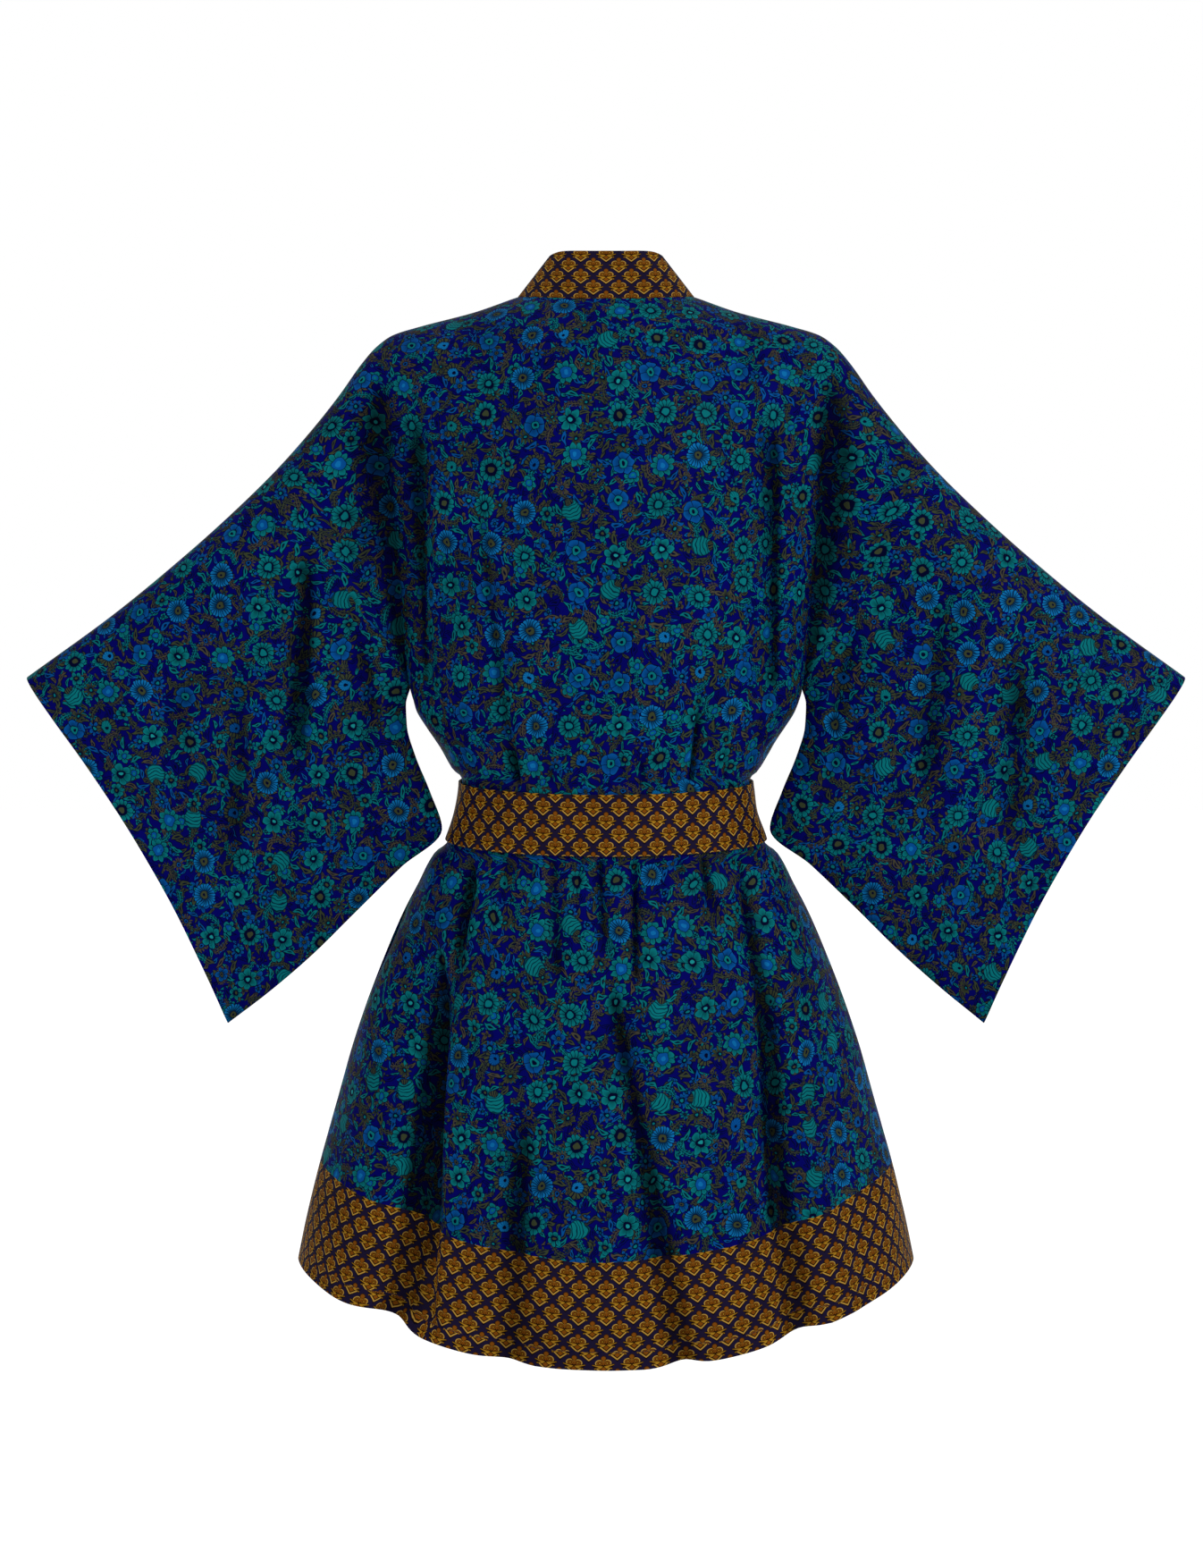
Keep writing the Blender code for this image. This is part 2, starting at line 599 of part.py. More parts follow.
def make_front(side):
    """One front panel and its hem band."""
    panel, hem = front_grid(side)
    at_sides = [(0, side)]
    part_at_seams(panel, hem, at_sides, facing=-1.0)
    on_shoulder = np.full(FRONT_COLUMNS + 1, True)
    wall("front_" + side, panel, panel_normals(panel, at_sides, on_shoulder), "floral_satin")
    wall("hem_front_" + side, hem, hem_normals(hem, at_sides), "gold_satin")


def sleeve_grid(side):
    """Middle surface of a sleeve: rings from the armhole to the cuff, each down behind and up in front."""
    along = SLEEVE_UNDERSIDE["along"][:, None]
    down = np.concatenate([SLEEVE_STEPS, SLEEVE_STEPS[-2:0:-1]])
    facing = np.concatenate([np.ones(len(SLEEVE_STEPS)), -np.ones(len(SLEEVE_STEPS) - 2)])
    x_top = ARMHOLE_TOP[0] + (CUFF_TOP[0] - ARMHOLE_TOP[0]) * along
    z_top = top_line(x_top)
    x_low = curve(SLEEVE_UNDERSIDE["along"], SLEEVE_UNDERSIDE["x"], along)
    z_low = curve(SLEEVE_UNDERSIDE["along"], SLEEVE_UNDERSIDE["height"], along)
    past_corner = np.clip((along - SLEEVE_CORNER_ALONG) / (1.0 - SLEEVE_CORNER_ALONG), 0.0, 1.0)
    z_low = z_low + UNDERSIDE_RISE[side] * 4.0 * past_corner * (1.0 - past_corner)
    cuff = unit(np.array([CUFF_BOTTOM[0] - CUFF_TOP[0], CUFF_BOTTOM[1] - CUFF_TOP[1]]))
    hollow = CUFF_HOLLOW * 4.0 * down * (1.0 - down) * along**2
    x = x_top + (x_low - x_top) * down + cuff[1] * hollow
    z = z_top + (z_low - z_top) * down - cuff[0] * hollow
    from_edges = smoothstep(down / SLEEVE_EDGE_FREE) * smoothstep((1.0 - down) / SLEEVE_EDGE_FREE)
    moved = relief(SLEEVE_FOLDS[side], x, z) * from_edges * smoothstep(along / SLEEVE_SEAM_FREE)
    y = facing * (arm_depth(x, down) * rise(x, z) + moved)
    return np.stack([SIGN[side] * x, y, z], axis=-1)


def make_sleeve(side):
    """One sleeve, a tube from the armhole to the open cuff, closed below the underarm."""
    grid = sleeve_grid(side)
    across_seam = armhole_normal(side)
    grid[0] += across_seam * SEAM_GAP / 2
    normals = surface_normals(grid, ring=True)
    normals[0] = lie_in_plane(normals[0], across_seam)
    wall("sleeve_" + side, grid, normals, "floral_satin", ring=True)


def front_surface(x, z):
    """y of the plain front at x and height z."""
    upper = cloth_depth(np.abs(x), z, "front", 0.0)
    lower = torso_depth(x, z, "front")
    return -np.where(z > UNDERARM[1], upper, lower)


def band_seam():
    """The neckband's seam: up the right front, round the back of the neck and down the left front."""
    fronts = {}
    for side in SIGN:
        panel, hem = front_grid(side)
        fronts[side] = np.concatenate([panel[:, -1], hem[1:, -1]])
    back, _ = back_grid()
    _, _, _, in_neck = back_columns()
    neck = back[0, in_neck][1:-1]
    return np.concatenate([fronts["right"][::-1], neck, fronts["left"]])


def make_neckband():
    """The neckband: it stands up and leans in round the neck, and lies on the fronts below."""
    seam = band_seam()
    across = (BAND_GAP + (BAND - BAND_GAP) * np.linspace(0.0, 1.0, BAND_STRIPS + 1))[:, None]

    to_axis = unit(np.stack([-seam[:, 0], NECK_AXIS_Y - seam[:, 1], np.zeros(len(seam))], axis=-1))
    sideways = np.clip(np.abs(seam[:, :1]) / NECK_X, 0.0, 1.0) ** 2
    lean = BAND_LEAN_BACK + (BAND_LEAN_SIDE - BAND_LEAN_BACK) * sideways
    standing = to_axis * np.sin(lean) + UP * np.cos(lean)
    stood_up = seam[:, None] + standing[:, None] * across

    slope = smoothstep((seam[:, 2] - BAND_LEVEL_BELOW) / BAND_LEVELS_OVER)
    along = np.gradient(seam, axis=0)
    tangent = unit(np.stack([along[:, 0] * slope, np.zeros(len(seam)), along[:, 2]], axis=-1))
    lying = seam[:, None] + np.cross(FORE_AND_AFT, tangent)[:, None] * across
    out_by = front_surface(seam[:, 0], seam[:, 2]) - seam[:, 1]
    lying[..., 1] = front_surface(lying[..., 0], lying[..., 2]) - out_by[:, None]

    laid = smoothstep((NECK_HEIGHT - seam[:, 2]) / (NECK_HEIGHT - BAND_LIES_FLAT_BELOW))
    laid = np.where(seam[:, 1] > 0.0, 0.0, laid)[:, None, None]
    grid = stood_up + (lying - stood_up) * laid
    wall("neckband", grid, surface_normals(grid), "gold_satin")


def sash_points(level, turns, out_by):
    """Points round the body's cloth at a height for each turn, moved out of it."""
    behind = np.cos(turns) > 0.0
    half_width, back_depth = body_shape(level, "back")
    _, front_depth = body_shape(level, "front")
    depth = np.where(behind, back_depth, front_depth)
    x = half_width * np.sin(turns)
    y = depth * np.cos(turns)
    out = unit(np.stack([np.sin(turns) / half_width, np.cos(turns) / depth], axis=-1))
    left_end, left_run = SASH_LAYER_END["left"]
    right_end, right_run = SASH_LAYER_END["right"]
    over_left_front = smoothstep((left_end - x) / left_run) * smoothstep((x + right_end) / right_run)
    in_front = smoothstep(-np.cos(turns) * 4.0)
    lift = out_by + LAYER * over_left_front * in_front
    return np.stack([x + lift * out[..., 0], y + lift * out[..., 1], level], axis=-1)


def make_sash():
    """The sash round the waist: a ring whose edges sag a little behind."""
    turns = np.linspace(0.0, 2.0 * math.pi, SASH_COLUMNS, endpoint=False)
    down = np.linspace(0.0, 1.0, SASH_ROWS)[:, None]
    behind = np.cos(turns / 2.0) ** 2
    top = SASH_TOP - SASH_TOP_SAG * behind
    bottom = SASH_BOTTOM - SASH_BOTTOM_SAG * behind
    level = top + (bottom - top) * down
    grid = sash_points(level, turns, WALL / 2 + SASH_CLEARANCE + SASH_WALL / 2)
    wall("belt", grid, surface_normals(grid, ring=True), "gold_satin", SASH_WALL, ring=True)


def sash_face(x, z):
    """y just clear of the sash's outer face at the front."""
    half_width, depth = body_shape(z, "front")
    out_by = WALL / 2 + SASH_CLEARANCE + SASH_WALL + LAYER + KNOT_GAP
    return -(depth * np.sqrt(1.0 - (x / half_width) ** 2) + out_by * (1.0 + 0.5 * (x / half_width) ** 2))


def knot_points(share, spoke, proud):
    """A ring of the knot at a share of its outline, a rounded square on the sash, moved out."""
    sideways = np.sign(np.cos(spoke)) * np.abs(np.cos(spoke)) ** KNOT_SQUARENESS
    upwards = np.sign(np.sin(spoke)) * np.abs(np.sin(spoke)) ** KNOT_SQUARENESS
    x = KNOT_X + share * KNOT_WIDTH / 2 * sideways
    half_height = (SASH_TOP - SASH_BOTTOM) / 2 * KNOT_SHARE_OF_SASH
    z = (SASH_TOP + SASH_BOTTOM) / 2 + share * half_height * upwards
    return np.stack([x, sash_face(x, z) - proud, z], axis=-1)


def make_knot():
    """The sash's knot: a pleated lump with a wrap down its middle."""
    spokes = np.linspace(0.0, 2.0 * math.pi, KNOT_SPOKES, endpoint=False)
    rings = []
    for share in KNOT_RINGS:
        bulge = KNOT_DEPTH * np.sqrt(1.0 - share**3)
        pleats = KNOT_PLEAT_DEPTH * np.cos(KNOT_PLEATS * spokes) * smoothstep(share)
        x = np.cos(spokes) * share * KNOT_WIDTH / 2
        wrap = KNOT_WRAP_DEPTH * smoothstep((KNOT_WRAP_WIDTH / 2 - np.abs(x)) / KNOT_WRAP_EDGE)
        rings.append(knot_points(share, spokes, bulge + pleats + wrap))
    rings.append(knot_points(1.0, spokes, np.zeros(KNOT_SPOKES)))
    rings.append(knot_points(KNOT_BACK_RING, spokes, np.zeros(KNOT_SPOKES)))
    front = knot_points(0.0, np.zeros(1), KNOT_DEPTH + KNOT_WRAP_DEPTH)
    behind = knot_points(0.0, np.zeros(1), 0.0)
    points = np.concatenate([front] + rings + [behind])
    faces = []
    last = len(points) - 1
    for spoke in range(KNOT_SPOKES):
        beside = (spoke + 1) % KNOT_SPOKES
        faces.append((0, 1 + spoke, 1 + beside))
        for ring in range(len(rings) - 1):
            start = 1 + ring * KNOT_SPOKES
            following = start + KNOT_SPOKES
            faces.append((start + spoke, following + spoke, following + beside, start + beside))
        start = 1 + (len(rings) - 1) * KNOT_SPOKES
        faces.append((last, start + beside, start + spoke))
    add_object("belt_knot", points, faces, "gold_satin")


def make_tail(side):
    """One end of the sash, pleated where it leaves the knot and flat further down."""
    tail = TAILS[side]
    z_top = SASH_BOTTOM - TAIL_GAP
    along = np.linspace(0.0, 1.0, TAIL_ROWS + 1)[:, None]
    across = np.linspace(-0.5, 0.5, TAIL_COLUMNS + 1)
    length = z_top - tail["z_end"]
    open_part = smoothstep(along * length / TAIL_SPREAD)
    width = TAIL_WIDTH_AT_KNOT + (TAIL_WIDTH - TAIL_WIDTH_AT_KNOT) * open_part
    sway = TAIL_SWAY * np.sin(along * 2.0 * math.pi) * along
    middle = tail["x_top"] + (tail["x_open"] - tail["x_top"]) * open_part
    x = middle + (tail["x_end"] - tail["x_open"]) * along + sway + width * across
    z = z_top - length * along + tail["slant"] * across * along
    pleats = TAIL_PLEAT_DEPTH * (1.0 - open_part) * (0.5 + 0.5 * np.cos(across * 4.0 * math.pi))
    out_by = WALL / 2 + LAYER + TAIL_CLEARANCE + SASH_WALL / 2 + pleats
    grid = np.stack([x, front_surface(x, z) - out_by, z], axis=-1)
    wall("belt_tail_" + side, grid, surface_normals(grid), "gold_satin", SASH_WALL)


def clear_scene():
    """Remove what the scene holds."""
    for item in list(bpy.data.objects):
        bpy.data.objects.remove(item, do_unlink=True)


def main():
    """Make every piece of the robe."""
    clear_scene()
    make_back()
    for side in SIGN:
        make_front(side)
        make_sleeve(side)
        make_tail(side)
    make_neckband()
    make_sash()
    make_knot()


main()
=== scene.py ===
"""Looks of a short kimono robe in printed satin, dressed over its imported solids.

Metres, +Z up, the robe's front faces -Y and the wearer's left is +X. Each piece of cloth is a thin
wall on its solid's own form, with finer folds, and carries its place on the flat cloth as a UV map
in metres, from which the two prints are worked out.
"""

import logging
import math
from dataclasses import dataclass
from enum import Enum

import bpy
import numpy as np
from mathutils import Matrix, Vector


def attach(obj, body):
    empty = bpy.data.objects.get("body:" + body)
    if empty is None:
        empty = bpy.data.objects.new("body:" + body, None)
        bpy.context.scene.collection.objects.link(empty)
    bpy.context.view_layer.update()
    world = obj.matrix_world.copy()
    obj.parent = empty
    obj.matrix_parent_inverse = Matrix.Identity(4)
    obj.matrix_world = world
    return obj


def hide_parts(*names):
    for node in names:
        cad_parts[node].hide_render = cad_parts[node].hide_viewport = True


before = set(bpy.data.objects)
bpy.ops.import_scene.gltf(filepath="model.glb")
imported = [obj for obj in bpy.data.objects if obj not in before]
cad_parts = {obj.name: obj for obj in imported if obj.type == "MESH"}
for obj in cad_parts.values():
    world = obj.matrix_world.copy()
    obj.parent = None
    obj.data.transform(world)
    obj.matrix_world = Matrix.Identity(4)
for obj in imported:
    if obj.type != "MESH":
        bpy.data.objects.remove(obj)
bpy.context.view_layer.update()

Array = np.ndarray
Table = dict[str, Array]
Colour = tuple[float, float, float, float]
Feeds = dict[int | str, object]
log = logging.getLogger("kimono_robe")

MILLIMETRES = 1000.0
WHITE = (1.0, 1.0, 1.0, 1.0)

# Neck and shoulders
NECK_X = 0.0734
NECK_HEIGHT = -0.0020
NECK_BACK_HEIGHT = -0.0050
SHOULDER_ROUNDING = 0.100
ARM_ROUNDING = 0.075
ROUNDING_CHANGES_FROM = 0.100
ROUNDING_CHANGES_OVER = 0.150
ARM_BEGINS = 0.080
ARM_BLENDS_OVER = 0.085
SHOULDER_FREE_OF_FOLDS = 0.050

# Armhole seam and sleeve, on the wearer's left
ARMHOLE_TOP = (0.2770, -0.1458)
UNDERARM = (0.1660, -0.3290)
SLEEVE_CORNER = (0.1400, -0.4500)
SLEEVE_CORNER_ALONG = 0.38
CUFF_TOP = (0.4905, -0.3213)
CUFF_BOTTOM = (0.3240, -0.6175)
CUFF_HOLLOW = 0.0145
UNDERSIDE_RISE = {"left": 0.0, "right": 0.0030}
ARM_DEPTH_AT_ARMHOLE = 0.046
ARM_DEPTH_AT_CUFF = 0.034
ARM_THINS_BY = 0.3
ARM_SECTION_POWER = 0.65
SLEEVE_EDGE_FREE = 0.15
SLEEVE_SEAM_FREE = 0.10

# Heights of the sash and of the hem band at the side seams, and how far they drop at the middle
SASH_TOP = -0.4080
SASH_BOTTOM = -0.4555
SASH_TOP_SAG = 0.0030
SASH_BOTTOM_SAG = 0.0060
SASH_CLEARANCE = 0.0007
PRESSED_ABOVE_SASH = 0.003
PRESSED_BELOW_SASH = 0.002
PRESSED_FADES_OVER = 0.040
HEM_SEAM = -0.7340
HEM = -0.8215
HEM_SEAM_DROP = {"back": 0.0540, "front": 0.0420}
HEM_DROP = {"back": 0.0555, "front": 0.0450}
HEM_LIFT_IN_FOLD = 0.35

# The left front lies over the right one: the height and x where its layer begins and ends
LAYER = 0.0028
LAYER_BEGINS = -0.050
LAYER_GROWS_OVER = 0.090
LAYER_END = 0.120
LAYER_RUN = 0.050
SASH_LAYER_END = {"left": (0.125, 0.050), "right": (0.105, 0.035)}

# Neckband
BAND = 0.0480
BAND_GAP = 0.0002
BAND_LEAN_BACK = math.radians(33)
BAND_LEAN_SIDE = math.radians(38)
BAND_CORNER = 0.0050
BAND_CORNER_WIDTH = 0.018
BAND_LIES_FLAT_BELOW = -0.090
BAND_LEVEL_BELOW = -0.360
BAND_LEVELS_OVER = 0.100
NECK_AXIS_Y = -0.005

# Painted shade in the folds: half the width of cloth that a fold is measured against, and the depth
# at which the painted shade is full
FOLD_REACH = 0.042
FOLD_FULL_SHADE = 0.0034

# Walls of the solids, which the sash and its tails stand clear of
WALL = 0.0015
SASH_WALL = 0.0020

# Edges sharper than this are shaded sharp
SHARP_FROM = math.radians(50)

# A difference too small to count
TINY = 1e-9

UP = np.array([0.0, 0.0, 1.0])
FORE_AND_AFT = np.array([0.0, 1.0, 0.0])


class Side(Enum):
    """A side of the wearer."""

    LEFT = "left"
    RIGHT = "right"

    @property
    def sign(self) -> float:
        """+1 on the wearer's left, which is +X, and -1 on the right."""
        return 1.0 if self is Side.LEFT else -1.0


class Facing(Enum):
    """The back or the front of the robe."""

    BACK = "back"
    FRONT = "front"

    @property
    def sign(self) -> float:
        """+1 behind, which is +Y, and -1 in front."""
        return 1.0 if self is Facing.BACK else -1.0


def table(columns: str, *rows: tuple[float, ...]) -> Table:
    """A table as one array for each named column."""
    return dict(zip(columns.split(), np.array(rows, float).T))


# Outer shape of the body at each height: half its width, and its depth behind and in front
BODY = table(
    "height half_width back_depth front_depth",
    (0.0500, 0.2000, 0.0860, 0.0700),
    (-0.0600, 0.1920, 0.1000, 0.0890),
    (-0.1300, 0.1860, 0.1075, 0.1085),
    (-0.2000, 0.1790, 0.1095, 0.1210),
    (-0.2600, 0.1730, 0.1075, 0.1220),
    (-0.3290, 0.1660, 0.1040, 0.1150),
    (-0.3470, 0.1605, 0.1025, 0.1125),
    (-0.3625, 0.1515, 0.1012, 0.1100),
    (-0.3800, 0.1405, 0.0995, 0.1070),
    (-0.3975, 0.1306, 0.0975, 0.1030),
    (-0.4070, 0.1220, 0.0930, 0.0965),
    (-0.4180, 0.1230, 0.0941, 0.0976),
    (-0.4320, 0.1250, 0.0955, 0.0990),
    (-0.4570, 0.1333, 0.0985, 0.1020),
    (-0.4625, 0.1352, 0.0994, 0.1030),
    (-0.4717, 0.1460, 0.1070, 0.1090),
    (-0.4986, 0.1605, 0.1165, 0.1160),
    (-0.5217, 0.1725, 0.1225, 0.1205),
    (-0.5564, 0.1875, 0.1300, 0.1260),
    (-0.5990, 0.2040, 0.1375, 0.1320),
    (-0.6377, 0.2170, 0.1435, 0.1370),
    (-0.6765, 0.2280, 0.1490, 0.1420),
    (-0.7116, 0.2380, 0.1540, 0.1465),
    (-0.7450, 0.2472, 0.1580, 0.1500),
    (-0.7890, 0.2580, 0.1630, 0.1540),
    (-0.8275, 0.2660, 0.1670, 0.1580),
)

# Rows of the body below the underarm, closest where the sash draws the cloth in
LOWER_ROWS = table(
    "top end count",
    (UNDERARM[1], -0.4070, 24),
    (-0.4070, -0.4570, 8),
    (-0.4570, -0.5000, 15),
    (-0.5000, HEM_SEAM, 58),
)

# Line of the shoulder and of the sleeve's top, from the middle of the neck to the cuff
TOP_LINE = table(
    "x height",
    (0.0000, 0.0120),
    (0.0400, 0.0085),
    (NECK_X, NECK_HEIGHT),
    (0.1100, -0.0147),
    (0.1560, -0.0267),
    (0.1785, -0.0337),
    (0.1920, -0.0430),
    (0.2045, -0.0570),
    (0.2240, -0.0840),
    (0.2470, -0.1125),
    (ARMHOLE_TOP[0], ARMHOLE_TOP[1]),
    (0.3160, -0.1835),
    (0.3550, -0.2180),
    (0.4145, -0.2665),
    (CUFF_TOP[0], CUFF_TOP[1]),
)

# Seam between a front panel and the neckband, on the wearer's left
FRONT_EDGE = table(
    "height x",
    (NECK_HEIGHT, NECK_X),
    (-0.0500, 0.0850),
    (-0.1000, 0.0830),
    (-0.1600, 0.0705),
    (-0.2200, 0.0525),
    (-0.2800, 0.0315),
    (-0.3290, 0.0140),
    (-0.4070, -0.0100),
    (-0.4570, -0.0160),
    (-0.5500, -0.0145),
    (-0.7450, -0.0120),
    (-0.8275, -0.0105),
)

# Sleeve's lower outline, from the underarm round its corner to the cuff
SLEEVE_UNDERSIDE = table(
    "along x height",
    (0.00, UNDERARM[0], UNDERARM[1]),
    (0.05, 0.1702, -0.3440),
    (0.12, 0.1694, -0.3630),
    (0.20, 0.1628, -0.3870),
    (0.29, 0.1500, -0.4190),
    (SLEEVE_CORNER_ALONG, SLEEVE_CORNER[0], SLEEVE_CORNER[1]),
    (0.50, 0.1750, -0.4830),
    (0.63, 0.2130, -0.5205),
    (0.76, 0.2520, -0.5590),
    (0.88, 0.2880, -0.5900),
    (1.00, CUFF_BOTTOM[0], CUFF_BOTTOM[1]),
)

# Folds: where the crease starts and ends, its width there, how deep it is (negative) or how proud,
# and the lengths over which it grows and fades. The solids have the first rows of each table, and
# the cloth has the finer ones as well.
FOLD_COLUMNS = "x_top z_top x_end z_end width_top width_end depth grow fade steep"
BACK_FOLDS = table(
    FOLD_COLUMNS,
    (0.153, -0.080, 0.150, -0.350, 0.014, 0.015, -0.0095, 0.060, 0.040, 2.6),
    (0.109, -0.120, 0.076, -0.405, 0.008, 0.007, -0.0045, 0.080, 0.008, 1.6),
    (0.081, -0.365, 0.074, -0.406, 0.007, 0.006, -0.0055, 0.020, 0.007, 1.5),
    (0.047, -0.375, 0.045, -0.406, 0.008, 0.006, -0.0045, 0.020, 0.007, 1.5),
    (0.012, -0.385, 0.014, -0.406, 0.008, 0.006, -0.0030, 0.015, 0.007, 1.5),
    (-0.030, -0.370, -0.033, -0.406, 0.008, 0.006, -0.0045, 0.020, 0.007, 1.5),
    (-0.080, -0.335, -0.073, -0.406, 0.006, 0.006, -0.0060, 0.025, 0.007, 1.8),
    (-0.104, -0.360, -0.100, -0.406, 0.008, 0.006, -0.0040, 0.020, 0.007, 1.5),
    (-0.137, -0.080, -0.137, -0.350, 0.015, 0.015, -0.0075, 0.060, 0.040, 2.4),
    (0.081, -0.462, 0.084, -0.500, 0.006, 0.009, -0.0050, 0.007, 0.020, 1.5),
    (0.043, -0.462, 0.039, -0.580, 0.006, 0.012, -0.0060, 0.007, 0.040, 1.8),
    (0.004, -0.462, -0.001, -0.560, 0.006, 0.012, -0.0075, 0.007, 0.040, 2.0),
    (-0.025, -0.462, -0.026, -0.585, 0.006, 0.007, -0.0050, 0.007, 0.030, 2.0),
    (-0.061, -0.462, -0.066, -0.490, 0.006, 0.007, -0.0040, 0.007, 0.015, 1.5),
    (-0.082, -0.462, -0.096, -0.530, 0.006, 0.009, -0.0065, 0.007, 0.030, 1.8),
    (-0.112, -0.462, -0.122, -0.520, 0.006, 0.008, -0.0040, 0.007, 0.030, 1.5),
    (0.112, -0.462, 0.186, -0.870, 0.008, 0.026, -0.0110, 0.030, 0.001, 1.4),
    (0.142, -0.500, 0.146, -0.820, 0.012, 0.022, -0.0060, 0.060, 0.060, 3.0),
    (0.001, -0.530, -0.066, -0.880, 0.010, 0.018, -0.0080, 0.080, 0.001, 1.4),
    (0.060, -0.600, 0.083, -0.880, 0.014, 0.020, -0.0060, 0.120, 0.001, 1.4),
    (-0.120, -0.480, -0.165, -0.870, 0.010, 0.022, -0.0090, 0.040, 0.001, 1.4),
    (-0.142, -0.500, -0.146, -0.800, 0.012, 0.018, -0.0040, 0.060, 0.060, 2.6),
    (0.022, -0.640, 0.014, -0.880, 0.020, 0.026, 0.0060, 0.120, 0.001, 1.0),
    (-0.150, -0.640, -0.204, -0.850, 0.012, 0.014, 0.0050, 0.100, 0.001, 1.0),
    (0.062, -0.330, 0.058, -0.405, 0.004, 0.003, -0.0026, 0.020, 0.006, 1.4),
    (-0.050, -0.345, -0.052, -0.405, 0.004, 0.003, -0.0026, 0.015, 0.006, 1.4),
    (-0.012, -0.350, -0.009, -0.405, 0.005, 0.003, -0.0020, 0.015, 0.006, 1.4),
    (-0.079, -0.310, -0.072, -0.404, 0.003, 0.0025, -0.0030, 0.020, 0.006, 1.4),
    (0.022, -0.464, 0.026, -0.520, 0.003, 0.004, -0.0024, 0.006, 0.020, 1.4),
    (-0.043, -0.464, -0.049, -0.515, 0.003, 0.004, -0.0024, 0.006, 0.020, 1.4),
    (0.062, -0.464, 0.066, -0.545, 0.003, 0.005, -0.0026, 0.006, 0.030, 1.4),
    (-0.025, -0.480, -0.0245, -0.560, 0.0025, 0.003, -0.0034, 0.010, 0.015, 1.4),
    (0.148, -0.100, 0.1455, -0.345, 0.0060, 0.0060, -0.0040, 0.060, 0.040, 1.8),
    (-0.142, -0.100, -0.1420, -0.345, 0.0060, 0.0060, -0.0036, 0.060, 0.040, 1.8),
    (0.164, -0.500, 0.1780, -0.860, 0.018, 0.026, -0.0075, 0.080, 0.020, 1.3),
    (0.146, -0.500, 0.1470, -0.860, 0.0200, 0.0360, -0.0095, 0.080, 0.020, 6.0),
    (0.138, -0.520, 0.1395, -0.800, 0.0060, 0.0080, -0.0036, 0.060, 0.060, 2.2),
    (-0.147, -0.520, -0.1510, -0.790, 0.0060, 0.0070, -0.0032, 0.060, 0.060, 2.2),
)
FRONT_FOLDS = {
    Side.LEFT: table(
        FOLD_COLUMNS,
        (0.150, -0.110, 0.143, -0.350, 0.011, 0.012, -0.0060, 0.060, 0.040, 1.6),
        (0.128, -0.110, 0.095, -0.405, 0.012, 0.008, -0.0045, 0.080, 0.008, 1.3),
        (0.103, -0.170, 0.077, -0.405, 0.009, 0.006, -0.0030, 0.080, 0.008, 1.3),
        (0.110, -0.360, 0.108, -0.406, 0.008, 0.006, -0.0050, 0.020, 0.007, 1.3),
        (0.082, -0.459, 0.086, -0.530, 0.006, 0.010, -0.0050, 0.007, 0.030, 1.3),
        (0.103, -0.459, 0.113, -0.570, 0.006, 0.012, -0.0055, 0.007, 0.040, 1.3),
        (0.108, -0.540, 0.150, -0.860, 0.014, 0.024, -0.0090, 0.060, 0.001, 1.3),
        (0.135, -0.560, 0.205, -0.850, 0.012, 0.016, 0.0050, 0.100, 0.001, 1.0),
    ),
    Side.RIGHT: table(
        FOLD_COLUMNS,
        (0.143, -0.110, 0.139, -0.350, 0.012, 0.012, -0.0055, 0.060, 0.040, 1.6),
        (0.121, -0.120, 0.092, -0.405, 0.012, 0.008, -0.0040, 0.080, 0.008, 1.3),
        (0.109, -0.210, 0.079, -0.405, 0.009, 0.007, -0.0030, 0.070, 0.008, 1.3),
        (0.092, -0.459, 0.097, -0.540, 0.006, 0.010, -0.0055, 0.007, 0.030, 1.3),
        (0.114, -0.459, 0.128, -0.550, 0.006, 0.010, -0.0050, 0.007, 0.040, 1.3),
        (0.098, -0.550, 0.128, -0.860, 0.012, 0.020, -0.0080, 0.060, 0.001, 1.3),
        (0.150, -0.540, 0.190, -0.850, 0.014, 0.022, -0.0070, 0.080, 0.001, 1.3),
    ),
}

# Slow waves of the hanging cloth: their shares of the depth, their radians a metre, and the angle
# that each starts at
RIPPLES = table(
    "share across up start",
    (0.40, 57.0, 6.0, 0.6),
    (0.30, 91.0, -11.0, 2.1),
    (0.20, 139.0, 17.0, 4.0),
    (0.15, 63.0, 38.0, 1.2),
    (0.10, 24.0, -71.0, 5.2),
)

# Folds of the sleeves, with x measured from the middle of the robe on both sides
SLEEVE_FOLDS = {
    Side.LEFT: table(
        FOLD_COLUMNS,
        (0.243, -0.170, 0.262, -0.420, 0.012, 0.020, -0.0070, 0.060, 0.080, 1.8),
        (0.212, -0.230, 0.190, -0.400, 0.010, 0.012, -0.0050, 0.050, 0.060, 1.4),
        (0.300, -0.260, 0.318, -0.520, 0.016, 0.022, -0.0045, 0.080, 0.080, 1.4),
        (0.370, -0.290, 0.345, -0.480, 0.018, 0.018, -0.0030, 0.060, 0.080, 1.0),
    ),
    Side.RIGHT: table(
        FOLD_COLUMNS,
        (0.246, -0.170, 0.198, -0.260, 0.009, 0.010, -0.0055, 0.030, 0.030, 1.4),
        (0.212, -0.230, 0.188, -0.400, 0.010, 0.012, -0.0045, 0.050, 0.060, 1.4),
        (0.282, -0.220, 0.270, -0.460, 0.016, 0.020, -0.0055, 0.080, 0.080, 1.4),
        (0.350, -0.290, 0.338, -0.500, 0.018, 0.020, -0.0040, 0.060, 0.080, 1.2),
    ),
}


def smoothstep(value: Array) -> Array:
    """0 below 0, 1 above 1 and a soft S between."""
    part = np.clip(value, 0.0, 1.0)
    return part * part * (3.0 - 2.0 * part)


def blend(first: Array, second: Array, share: Array) -> Array:
    """The first value where the share is 0, the second where it is 1, and in line between."""
    return first + (second - first) * share


